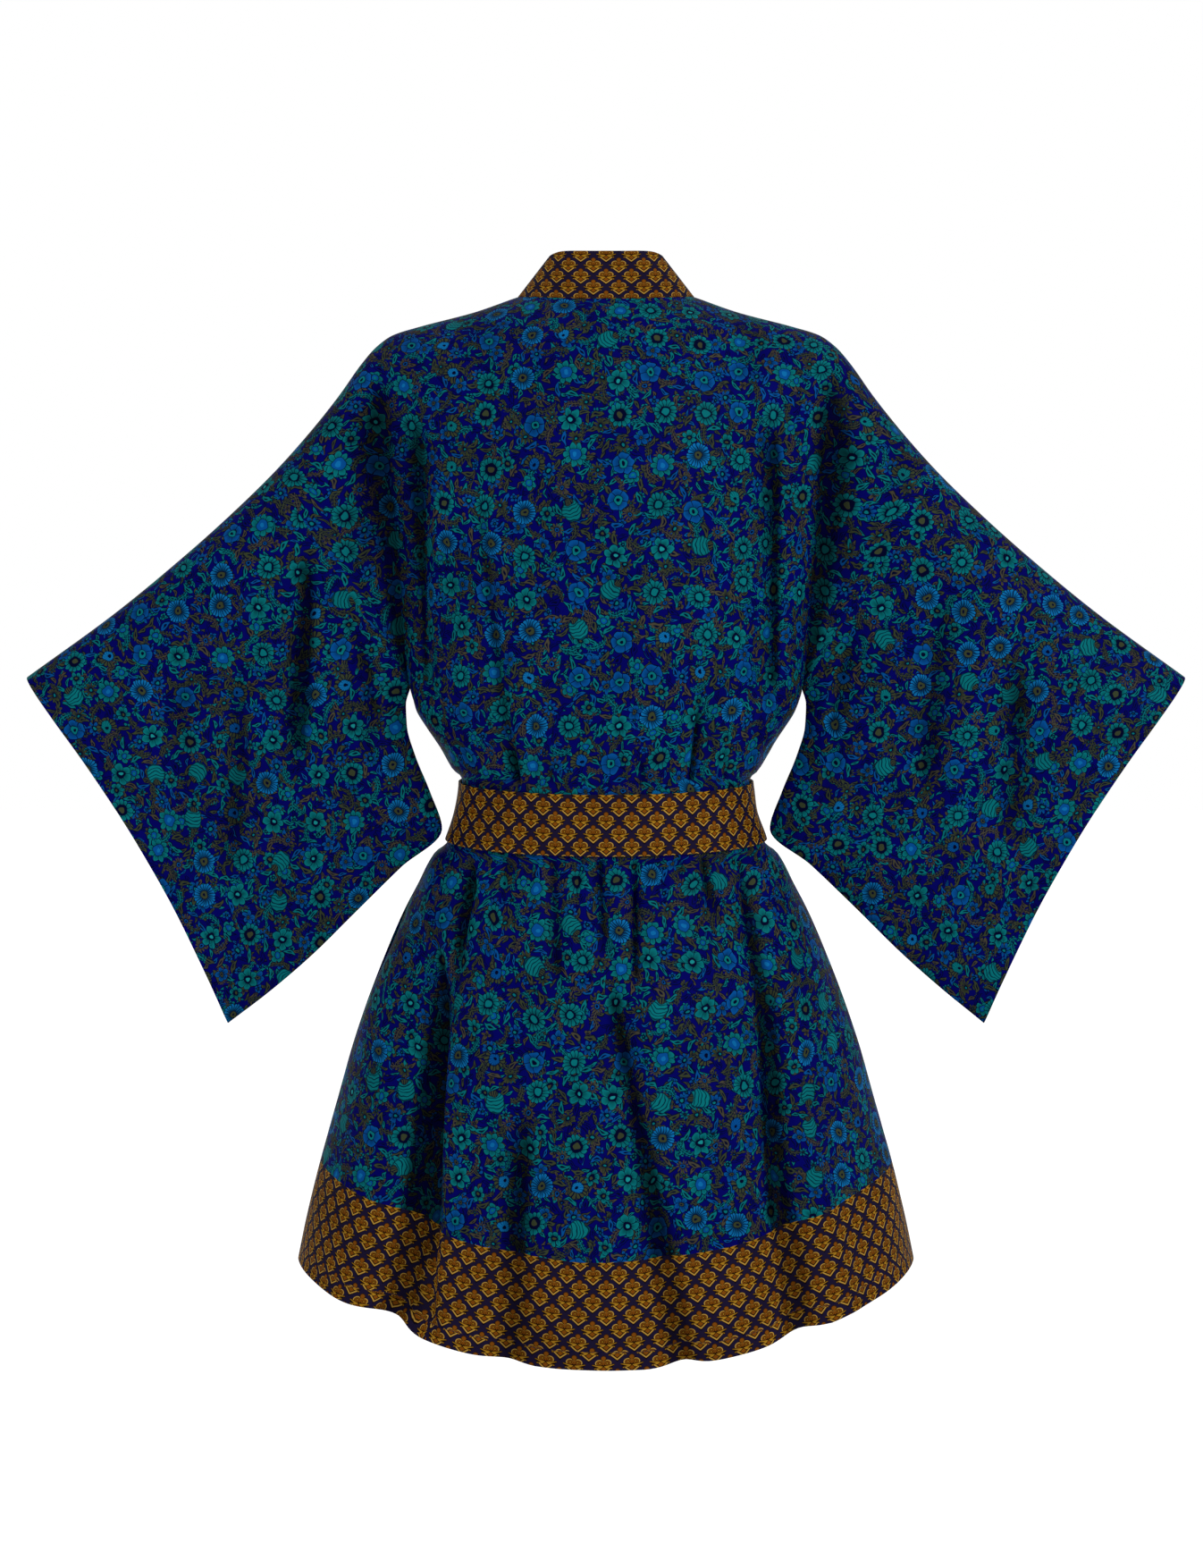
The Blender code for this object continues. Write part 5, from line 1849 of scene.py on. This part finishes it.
@dataclass(frozen=True)
class Motif:
    """The frame of one scattered motif, in millimetres from its own middle.

    Attributes:
        x: Across.
        y: Up.
        reach: Distance from the middle.
        turn: Angle round it.
        pick: A random number from 0 to 1, the same all over one motif.
        tint: Another one.
    """

    x: Field
    y: Field
    reach: Field
    turn: Field
    pick: Field
    tint: Field

    def oval(self, half_length: float, half_width: float, x: float = 0.0, y: float = 0.0) -> Field:
        """0 at the middle of an oval, which lies at x and y, and 1 on its outline."""
        across = (self.x - x) * (1.0 / half_length)
        return across.length_with((self.y - y) * (1.0 / half_width))


class Print:
    """A print in progress: colours laid over one another.

    Attributes:
        lean: By how much more each layer's grid leans than the last one's.
        offset: Where the grids begin, in cells.
        chances: What turns a motif's random place into two more random numbers.
    """

    lean: float = 0.45
    offset: tuple[float, float] = (0.37, 0.61)
    chances: tuple[float, float] = (91.7, 83.1)

    def __init__(self, graph: Graph, ground: Dye) -> None:
        """Start from the ground colour."""
        self.graph: Graph = graph
        self.colour: Colour | Field = ground.colour

    def lay(self, mask: Field, colour: Dye | Field) -> None:
        """Lay a colour wherever the mask is 1."""
        on_top = colour.colour if isinstance(colour, Dye) else colour
        self.colour = self.graph.mix(mask, self.colour, on_top)

    def dyed(self, choice: Field, *dyes: Dye) -> Field:
        """One of several colours, by a random number from 0 to 1."""
        return self.graph.steps(choice, *(dye.colour for dye in dyes))

    def scatter(self, place: Field, cell: float, jitter: float, seed: float) -> Motif:
        """Scatter motifs: one in each cell of a leaning grid, moved and turned at random.

        Args:
            place: Place on the cloth, in millimetres.
            cell: The grid's spacing.
            jitter: How far a motif may lie from its cell's middle.
            seed: A whole number that tells this layer from the others.

        Returns:
            The frame of the nearest motif.
        """
        graph = self.graph
        leaning = graph.turned(place, self.lean * seed)
        across, offset = 1.0 / cell, (*self.offset, seed)
        cells = graph.vectors("MULTIPLY_ADD", leaning, (across, across, 0.0), offset)
        whole, part = graph.vectors("FLOOR", cells), graph.vectors("FRACTION", cells)
        chance = graph.field("TexWhiteNoise", {"Vector": whole}, "Color", noise_dimensions="3D")
        middle = -0.5 * cell - jitter
        spread = (2.0 * jitter, 2.0 * jitter, 0.0)
        shift = graph.vectors("MULTIPLY_ADD", chance, spread, (middle, middle, 0.0))
        local = graph.vectors("MULTIPLY_ADD", part, (cell, cell, 0.0), shift)
        aside, aloft, turned = graph.parts(chance)
        local = graph.turned(local, turned * (2.0 * math.pi))
        x, y, _ = graph.parts(local)
        reach = graph.vectors("LENGTH", local, output="Value")
        pick, tint = (aside * self.chances[0]).fract(), (aloft * self.chances[1]).fract()
        return Motif(x, y, reach, graph.math("ARCTAN2", y, x), pick, tint)


@dataclass(frozen=True)
class Bloom:
    """One kind of round flower; lengths are shares of the flower's own size.

    Attributes:
        petals: How many petals it has.
        heart: Radius between two petals.
        reach: How much further a petal reaches.
        outer: Colour of the petals.
        ring: Radius of the middle.
        inner: Colour of the middle.
        dot: Radius of the dot in the middle.
        seed: Colour of the dot.
    """

    petals: int
    heart: float
    reach: float
    outer: Dye
    ring: float
    inner: Dye
    dot: float
    seed: Dye


NO_BLOOM = Bloom(6, 0.0, 0.0, Dye.INK, 0.0, Dye.INK, 0.0, Dye.INK)
LARGE_BLOOMS = (
    Bloom(22, 0.88, 0.10, Dye.CYAN, 0.34, Dye.OLIVE, 0.12, Dye.INK),
    Bloom(13, 0.80, 0.18, Dye.TEAL, 0.50, Dye.INK, 0.26, Dye.OLIVE),
    Bloom(9, 0.70, 0.28, Dye.TEAL, 0.50, Dye.AZURE, 0.20, Dye.CYAN),
    Bloom(5, 0.78, 0.10, Dye.AZURE, 0.36, Dye.TEAL, 0.16, Dye.INK),
    Bloom(6, 0.64, 0.32, Dye.TEAL, 0.34, Dye.INK, 0.16, Dye.LIGHT_TEAL),
    NO_BLOOM,
    Bloom(15, 0.80, 0.16, Dye.TEAL, 0.42, Dye.INK, 0.30, Dye.TEAL),
    NO_BLOOM,
)
MIDDLE_BLOOMS = (
    Bloom(6, 0.60, 0.38, Dye.TEAL, 0.36, Dye.INK, 0.18, Dye.OLIVE),
    Bloom(8, 0.30, 0.66, Dye.AZURE, 0.34, Dye.INK, 0.20, Dye.TEAL),
    Bloom(5, 0.46, 0.50, Dye.AZURE, 0.26, Dye.OLIVE, 0.12, Dye.INK),
    Bloom(9, 0.20, 0.76, Dye.OLIVE, 0.26, Dye.INK, 0.16, Dye.TEAL),
    Bloom(5, 0.54, 0.42, Dye.TEAL, 0.42, Dye.AZURE, 0.18, Dye.TEAL),
    Bloom(11, 0.16, 0.70, Dye.TAUPE, 0.30, Dye.AZURE, 0.16, Dye.INK),
)
SMALL_BLOOMS = (
    Bloom(6, 0.12, 0.84, Dye.OLIVE, 0.16, Dye.INK, 0.10, Dye.TEAL),
    Bloom(5, 0.46, 0.40, Dye.AZURE, 0.28, Dye.INK, 0.10, Dye.TEAL),
    Bloom(7, 0.10, 0.86, Dye.TEAL, 0.20, Dye.INK, 0.08, Dye.OLIVE),
    Bloom(4, 0.14, 0.80, Dye.TAUPE, 0.20, Dye.INK, 0.10, Dye.OLIVE),
    Bloom(5, 0.40, 0.34, Dye.TEAL, 0.30, Dye.INK, 0.12, Dye.TEAL),
    Bloom(8, 0.14, 0.70, Dye.OLIVE, 0.24, Dye.INK, 0.10, Dye.AZURE),
)
MOST_PETALS = 40.0
LEAF_DYES = (Dye.OLIVE, Dye.NAVY, Dye.TAUPE, Dye.TEAL, Dye.AZURE, Dye.OLIVE, Dye.TEAL)

# Where in the order of the eight large kinds a bud or a fan takes a left-out flower's place,
# the share that each kind has, and how sharply they are told apart
BUD_PLACE = 5.0 / 8.0
FAN_PLACE = 7.0 / 8.0
KIND_WIDTH = 1.0 / 8.0
AT_ONCE = 1000.0


class FloralPrint(Print):
    """The dense small-flowered print of the robe's main cloth; lengths are in millimetres.

    Attributes:
        waver: How finely the motifs' places waver, and by how much.
        outline: Width of the dark line round a flower.
        divider: Half the width of the dark line between two petals.
        middle_outline: Width of the dark line round a flower's middle.
        middle_edge: How far inside that line the middle's own colour begins.
        petal_light: Brightness at a petal's edge, and how it changes outwards.
    """

    waver: tuple[float, float] = (0.19, 2.4)
    outline: float = 0.6
    divider: float = 0.30
    middle_outline: float = 0.3
    middle_edge: float = 0.2
    petal_light: tuple[float, float] = (1.10, 1.2)

    def __init__(self, graph: Graph, u: Field, v: Field) -> None:
        """Lay the leaves, the sprigs, the small flowers and the large ones over the ground.

        Args:
            graph: The material's nodes.
            u: Place across, in millimetres.
            v: Place up.
        """
        super().__init__(graph, Dye.NAVY)
        flat, (finely, by) = graph.vector(u, v), self.waver
        waver = graph.noise(flat, finely, 0.0, "Color")
        place = graph.vectors("MULTIPLY_ADD", waver, (by, by, 0.0), flat)
        small_leaf = self.scatter(place, cell=8.2, jitter=0.9, seed=1.0)
        self.leaves(small_leaf, half_length=4.2, half_width=1.10)
        small = self.scatter(place, cell=13.5, jitter=2.4, seed=2.0)
        self.blooms(small, 4.1, SMALL_BLOOMS)
        large_leaf = self.scatter(place, cell=12.0, jitter=1.4, seed=3.0)
        self.leaves(large_leaf, half_length=6.0, half_width=1.65)
        self.sprigs(self.scatter(place, cell=25.0, jitter=3.4, seed=4.0))
        middle = self.scatter(place, cell=25.0, jitter=5.4, seed=5.0)
        self.blooms(middle, 6.4, MIDDLE_BLOOMS)
        large = self.scatter(place, cell=35.0, jitter=7.0, seed=7.0)
        self.blooms(large, 10.0, LARGE_BLOOMS)
        self.striped_bud(large)
        self.fan(large)

    def leaves(self, motif: Motif, half_length: float, half_width: float) -> None:
        """Curved pointed leaves with light edges and a dark rib.

        A leaf lies where |y + bend * x * x| / half width + (x / half length) squared is below 1.

        Args:
            motif: The frame of the nearest leaf.
            half_length: Half its length, in millimetres.
            half_width: Half its width.
        """
        bent = abs(motif.y + motif.x * motif.x * (0.28 / half_length)) * (1.0 / half_width)
        ends = motif.x * motif.x * (1.0 / half_length**2)
        leaf = bent + ends
        self.lay(leaf.below(1.0 + 0.75 / half_width, 2.5), Dye.INK)
        self.lay(leaf.below(1.0) * leaf.over(0.42 - ends), self.dyed(motif.pick, *LEAF_DYES))

    def sprigs(self, motif: Motif) -> None:
        """A curved stem with a row of small leaves on both sides: |sine| waves along a parabola.

        Args:
            motif: The frame of the nearest sprig.
        """
        bent = abs(motif.y - motif.x * motif.x * 0.045)
        leaf = abs((motif.x * 1.15 + bent * 1.1).sin()) * 2.2 + 0.30
        within = abs(motif.x).below(8.6)
        self.lay(bent.below(leaf + 0.5) * within, Dye.INK)
        tone = self.dyed(motif.tint, Dye.OLIVE, Dye.TAUPE, Dye.OLIVE, Dye.TEAL)
        self.lay(bent.below(leaf) * within, tone)
        self.lay(bent.below(leaf - 0.75) * bent.over(0.35) * within, Dye.INK)

    def blooms(self, motif: Motif, size: float, kinds: tuple[Bloom, ...]) -> None:
        """Round flowers of several kinds.

        A petal's edge lies at heart + reach * |cos(petals * turn / 2)|, times the flower's size.

        Args:
            motif: The frame of the nearest flower.
            size: Radius of a flower, in millimetres.
            kinds: The kinds to choose from.
        """
        graph, sharp = self.graph, 3.0 * size
        shapes = [(kind.petals / MOST_PETALS, kind.heart, kind.reach, 1.0) for kind in kinds]
        middles = [(kind.ring, kind.dot, 0.0, 1.0) for kind in kinds]
        petals, heart, reach = graph.parts(graph.steps(motif.pick, *shapes))
        ring, dot, _ = graph.parts(graph.steps(motif.pick, *middles))
        petals = petals * (0.5 * MOST_PETALS)
        wave = abs((motif.turn * petals).cos())
        out = motif.reach * (1.0 / size)
        past_edge = out - graph.math("MULTIPLY_ADD", reach, wave, heart)
        divider = wave * out / petals
        self.lay(past_edge.below(self.outline / size, sharp), Dye.INK)
        tone = self.dyed(motif.pick, *(kind.outer for kind in kinds))
        light = graph.math("MULTIPLY_ADD", past_edge, self.petal_light[1], self.petal_light[0])
        on_petal = past_edge.below(0.0, sharp) * divider.over(self.divider / size, sharp)
        self.lay(on_petal, graph.scaled(light, tone))
        past_ring = out - ring
        self.lay(past_ring.below(self.middle_outline / size, sharp), Dye.INK)
        tone = self.dyed(motif.pick, *(kind.inner for kind in kinds))
        self.lay(past_ring.below(-self.middle_edge / size, sharp), tone)
        tone = self.dyed(motif.pick, *(kind.seed for kind in kinds))
        self.lay(out.below(dot, sharp), tone)

    def striped_bud(self, motif: Motif) -> None:
        """A round teal bud with curved stripes and an olive cap, in place of one kind of flower.

        Args:
            motif: The frame of the nearest large flower.
        """
        here = motif.pick.over(BUD_PLACE, AT_ONCE)
        here = here * motif.pick.below(BUD_PLACE + KIND_WIDTH, AT_ONCE)
        bud = motif.oval(8.8, 7.4)
        self.lay(bud.below(1.09, 8.0) * here, Dye.INK)
        stripes = ((motif.x + motif.y * motif.y * 0.05) * 2.1).sin()
        self.lay(bud.below(1.0, 8.0) * stripes.over(-0.70, 1.6) * here, Dye.TEAL)
        cap = motif.oval(2.8, 4.0, -7.4)
        self.lay(cap.below(1.0, 4.0) * here, Dye.INK)
        ribs = (motif.y * 3.6).sin().over(-0.3, 2.0)
        self.lay(cap.below(0.8, 4.0) * ribs * here, Dye.OLIVE)

    def fan(self, motif: Motif) -> None:
        """A fan of olive rays round a teal heart, in place of another kind of flower.

        Args:
            motif: The frame of the nearest large flower.
        """
        here = motif.pick.over(FAN_PLACE, AT_ONCE)
        wave = abs((motif.turn * 8.0).cos())
        sector = abs(motif.turn).below(1.95, 8.0) * here
        edge = wave * 1.4 + 7.8
        self.lay(motif.reach.below(edge + 0.7) * sector, Dye.INK)
        rays = (wave * motif.reach * (1.0 / 8.0)).over(0.42, 4.0)
        self.lay(motif.reach.below(edge) * rays * sector, Dye.OLIVE)
        heart = motif.oval(5.0, 4.4, 1.0)
        self.lay(heart.below(1.12, 6.0) * here, Dye.INK)
        tone = self.dyed(motif.tint, Dye.CYAN, Dye.TEAL, Dye.AZURE)
        self.lay(heart.below(0.96, 6.0) * wave.over(0.25) * here, tone)
        self.lay(motif.reach.below(1.5) * here, Dye.INK)


@dataclass(frozen=True)
class Lattice:
    """Sizes of the gold print's diamonds, in millimetres.

    Attributes:
        across: Width of a diamond.
        up: Its height.
        palmette_across: How much wider the palmette is drawn than its strokes say.
        palmette_up: How much higher.
        set_off: By what share of a diamond the print is set off below a turned edge's stitches.
    """

    across: float = 21.1
    up: float = 21.9
    palmette_across: float = 1.02
    palmette_up: float = 0.90
    set_off: tuple[float, float] = (0.4, 0.3)


class GoldPrint(Print):
    """Gold palmettes in a lattice of dark diamonds."""

    def __init__(self, graph: Graph, u: Field, v: Field, lattice: Lattice) -> None:
        """Fold the plane into one diamond and draw half a palmette there, mirrored.

        Args:
            graph: The material's nodes.
            u: Place across, in millimetres.
            v: Place up.
            lattice: The diamonds' sizes.
        """
        super().__init__(graph, Dye.PLUM)
        rising = u * (1.0 / lattice.across) + v * (1.0 / lattice.up)
        falling = u * (1.0 / lattice.across) - v * (1.0 / lattice.up)
        rising = (rising + 0.5).fract() - 0.5
        falling = (falling + 0.5).fract() - 0.5
        self.x: Field = abs((rising + falling) * (lattice.across / (2.0 * lattice.palmette_across)))
        self.y: Field = (rising - falling) * (lattice.up / (2.0 * lattice.palmette_up)) - 0.3
        border = abs(rising).larger(abs(falling))
        self.lay(border.below(0.385, 30.0), Dye.BLACK)
        self.scrolls()
        self.wing()
        self.point()

    def line(self, start: tuple[float, float], end: tuple[float, float]) -> Field:
        """Distance from a straight stroke between two points, and from its mirror image.

        Args:
            start: x and y of one end.
            end: x and y of the other.

        Returns:
            The distance in millimetres.
        """
        run, climb = end[0] - start[0], end[1] - start[1]
        length_squared = run * run + climb * climb
        x = self.x - start[0]
        y = self.y - start[1]
        shares = x * (run / length_squared), y * (climb / length_squared)
        along = self.graph.math("ADD", *shares, clamp=True)
        return (x - along * run).length_with(y - along * climb)

    def circle(self, x: float, y: float) -> Field:
        """Distance from a point of the diamond, and from its mirror image."""
        return (self.x - x).length_with(self.y - y)

    def wing(self) -> None:
        """A leaf that sweeps out to each side, with an upper and a lower tip."""
        outwards = (self.x - 1.0) * 0.10
        upper = self.line((1.2, -1.6), (7.8, 0.4)) + outwards
        lower = self.line((1.2, -1.7), (6.2, -3.0)) + outwards
        wing = upper.smaller(lower)
        self.lay(wing.below(1.45), Dye.BROWN)
        self.lay(wing.below(0.84), Dye.GOLD)

    def scrolls(self) -> None:
        """A ball above two scrolls, each with light outer rings and a small eye."""
        scroll = self.circle(2.75, 1.95)
        self.lay(scroll.below(3.35), Dye.BROWN)
        upper_side = (self.y + self.x * 0.4).over(2.0, 0.8)
        self.lay(abs(scroll - 2.80).below(0.36) * upper_side, Dye.PALE_GOLD)
        self.lay(abs(scroll - 1.60).below(0.40), Dye.ORANGE)
        self.lay(scroll.below(0.60), Dye.GOLD)
        ball = self.x.length_with((self.y - 6.2) * 0.86)
        self.lay(ball.below(2.25), Dye.BROWN)
        self.lay(ball.below(1.65, 1.6), Dye.ORANGE)
        self.lay(self.line((0.0, 0.8), (0.0, 3.9)).below(0.52), Dye.ORANGE)

    def point(self) -> None:
        """A small orange diamond inside a light pointed outline."""
        diamond = self.x + abs(self.y + 3.5)
        self.lay(diamond.below(2.9, 2.5), Dye.BROWN)
        self.lay(diamond.below(2.1, 2.5), Dye.ORANGE)
        self.lay(self.line((4.5, -3.1), (0.0, -7.5)).below(0.95), Dye.BROWN)
        self.lay(self.line((4.5, -3.1), (0.0, -7.5)).below(0.48), Dye.PALE_GOLD)


@dataclass(frozen=True)
class Satin:
    """How the satin shines; heights are in millimetres.

    Attributes:
        roughness: Of its sheen where that is brightest, and how much its clouds add.
        specular: The strength of its surface reflection.
        tone: Brightness of the print, and how much its clouds and its threads add.
        weave: Height of the threads.
        wrinkle: Height of the small unevenness.
        pucker: Height of the puckers along a seam.
        stitch_line: How far above a turned edge its stitches run.
        stitch_depth: How deep the stitches draw the cloth in.
        stitch_shade: How dark they are.
        fold_shade: How much painted shade darkens the cloth deep in a fold.
        reverse_shade: How much painted shade darkens it inside.
    """

    roughness: tuple[float, float] = (0.41, 0.10)
    specular: float = 0.006
    tone: tuple[float, float, float] = (0.47, 0.26, 0.03)
    weave: float = 0.0125
    wrinkle: float = 1.08
    pucker: float = 1.4
    stitch_line: float = 15.0
    stitch_depth: float = 0.22
    stitch_shade: float = 0.6
    fold_shade: float = 0.80
    reverse_shade: float = 0.55

    def finish(self, graph: Graph, colour: object, u: Field, v: Field) -> bpy.types.Material:
        """Make the printed satin: threads, wrinkles, seam puckers and stitches over the print, with
        painted shade in its folds and on its inside.

        The threads are a sine across times a sine up, the clouds and the wrinkles are noise, and
        the puckers are noise that dies out exponentially away from a seam.

        Args:
            graph: The material's nodes.
            colour: The print.
            u: Place across, in millimetres.
            v: Place up.

        Returns:
            The finished material.
        """
        names = ("reverse", "seam", "turned", "hollow")
        reverse, seam, turned, hollow = (graph.attribute(name) for name in names)
        threads = (u * 12.0).sin() * (v * 3.0).sin()
        cloud = graph.noise(graph.vector(u * 0.028, v * 0.020))
        stitch = abs(turned * MILLIMETRES - self.stitch_line)
        on_line = stitch.below(0.45, 2.5) * ((u + v) * 2.1).sin().over(-0.3)
        plain, clouds, grain = self.tone
        # Painted shade: the print is darkened where the cloth lies deep in a fold
        light = (plain + cloud * clouds + threads * grain) * (1.0 - hollow * self.fold_shade)
        # Painted shade darkens the inside skin; the stitches are dark thread
        dark = reverse * self.reverse_shade + on_line * self.stitch_shade
        near_seam = graph.math("EXPONENT", seam * -160.0)
        pucker = graph.noise(graph.vector(u * 0.16, v * 0.16), detail=0.0) * near_seam
        wrinkle = graph.noise(graph.vector(u * 0.045, v * 0.018))
        relief = wrinkle * self.wrinkle + pucker * self.pucker + threads * self.weave
        relief = relief - stitch.below(0.9, 0.8) * self.stitch_depth
        bump = {"Strength": 1.0, "Distance": 1.0 / MILLIMETRES, "Height": relief}
        smooth, cloudy = self.roughness
        return graph.surface({
            "Base Color": graph.mix(dark, graph.scaled(light, colour), Dye.INK.colour),
            "Roughness": smooth + cloud * cloudy,
            "Specular IOR Level": self.specular,
            "Normal": graph.field("Bump", bump),
        })


def floral_satin() -> bpy.types.Material:
    """The main cloth.

    Returns:
        Its material.
    """
    graph = Graph("floral_satin")
    u, v = graph.cloth_place()
    return Satin().finish(graph, FloralPrint(graph, u, v).colour, u, v)


def gold_satin() -> bpy.types.Material:
    """The cloth of the bands and the sash, whose print is set off below a turned edge's stitches.

    Returns:
        Its material.
    """
    graph = Graph("gold_satin")
    # The gold cloth gets less painted shade in its folds
    lattice, satin = Lattice(), Satin(fold_shade=0.50)
    u, v = graph.cloth_place()
    below_line = (graph.attribute("turned") * MILLIMETRES).below(satin.stitch_line)
    shifted_u = u + below_line * (lattice.across * lattice.set_off[0])
    shifted_v = v + below_line * (lattice.up * lattice.set_off[1])
    gold = GoldPrint(graph, shifted_u, shifted_v, lattice)
    return satin.finish(graph, gold.colour, u, v)


@dataclass(frozen=True)
class Studio:
    """A plain white floor, soft light from all round and the photo's viewing angle.

    Attributes:
        floor: The floor's height.
        floor_size: Its length and width.
        floor_glow: How brightly the paper itself glows, so that it comes out white.
        paper: Its colour.
        paper_roughness: How dull it is.
        sky: Brightness of the light from all round.
        key: Watts of the large soft lamp.
        key_size: Length of the lamp's sides.
        key_place: Where it hangs.
        camera: Where the camera stands.
        aim: What lamp and camera look at.
        lens: The camera's focal length in millimetres.
        sensor: Width of its sensor in millimetres.
    """

    floor: float = -1.45
    floor_size: float = 18.0
    floor_glow: float = 0.62
    paper: Colour = (0.50, 0.50, 0.50, 1.0)
    paper_roughness: float = 0.9
    sky: float = 1.0
    key: float = 50.0
    key_size: float = 1.2
    key_place: tuple[float, float, float] = (-1.5, 2.4, 1.1)
    camera: tuple[float, float, float] = (0.0038, 2.9836, -0.0984)
    aim: tuple[float, float, float] = (0.0038, 0.0, -0.412)
    lens: float = 81.0
    sensor: float = 36.0

    def build(self) -> None:
        """Build the floor, the light and the camera."""
        self.build_floor()
        self.build_light()
        self.build_camera()

    @staticmethod
    def put(data: bpy.types.ID) -> bpy.types.Object:
        """Put a mesh, a lamp or a camera into the scene.

        Args:
            data: What to put there.

        Returns:
            Its object, under the same name.
        """
        made = bpy.data.objects.new(data.name, data)
        bpy.context.scene.collection.objects.link(made)
        return made

    def turn(self, thing: bpy.types.Object, place: tuple[float, float, float]) -> None:
        """Put a lamp or a camera in its place and turn it towards the aim.

        Args:
            thing: The lamp or the camera.
            place: Where it goes.
        """
        thing.location = place
        way = Vector(self.aim) - thing.location
        thing.rotation_euler = way.to_track_quat("-Z", "Y").to_euler()

    def build_floor(self) -> None:
        """A large square of white paper."""
        half = self.floor_size / 2
        square = ((-half, -half), (half, -half), (half, half), (-half, half))
        mesh = bpy.data.meshes.new("studio_floor")
        mesh.from_pydata([(x, y, self.floor) for x, y in square], [], [(0, 1, 2, 3)])
        mesh.materials.append(Graph("studio_paper").surface({
            "Base Color": self.paper,
            "Roughness": self.paper_roughness,
            "Specular IOR Level": 0.0,
            "Emission Color": WHITE,
            "Emission Strength": self.floor_glow,
        }))
        floor = self.put(mesh)

    def build_light(self) -> None:
        """An even pale sky, and one large soft lamp from the photo's upper right."""
        world = bpy.data.worlds.new("studio_sky")
        world.use_nodes = True
        background = world.node_tree.nodes["Background"]
        background.inputs["Color"].default_value = WHITE
        background.inputs["Strength"].default_value = self.sky
        bpy.context.scene.world = world
        lamp = bpy.data.lights.new("soft_box", "AREA")
        lamp.shape = "SQUARE"
        lamp.size = self.key_size
        lamp.energy = self.key
        key = self.put(lamp)
        self.turn(key, self.key_place)

    def build_camera(self) -> None:
        """The camera behind the robe, a little above its middle."""
        optics = bpy.data.cameras.new("photo_view")
        optics.lens = self.lens
        optics.sensor_width = self.sensor
        camera = self.put(optics)
        self.turn(camera, self.camera)
        bpy.context.scene.camera = camera
        bpy.context.scene.view_settings.view_transform = "Standard"


def main() -> None:
    """Dress the robe piece by piece and set up the studio."""
    logging.basicConfig(level=logging.INFO, format="%(message)s")
    floral, gold = floral_satin(), gold_satin()
    body = Body()
    body.dress(floral, gold)
    for side in Side:
        Sleeve(side).dress(floral)
    Neckband(body).dress(gold)
    Sash().dress(gold)
    Studio().build()


if __name__ == "__main__":
    main()
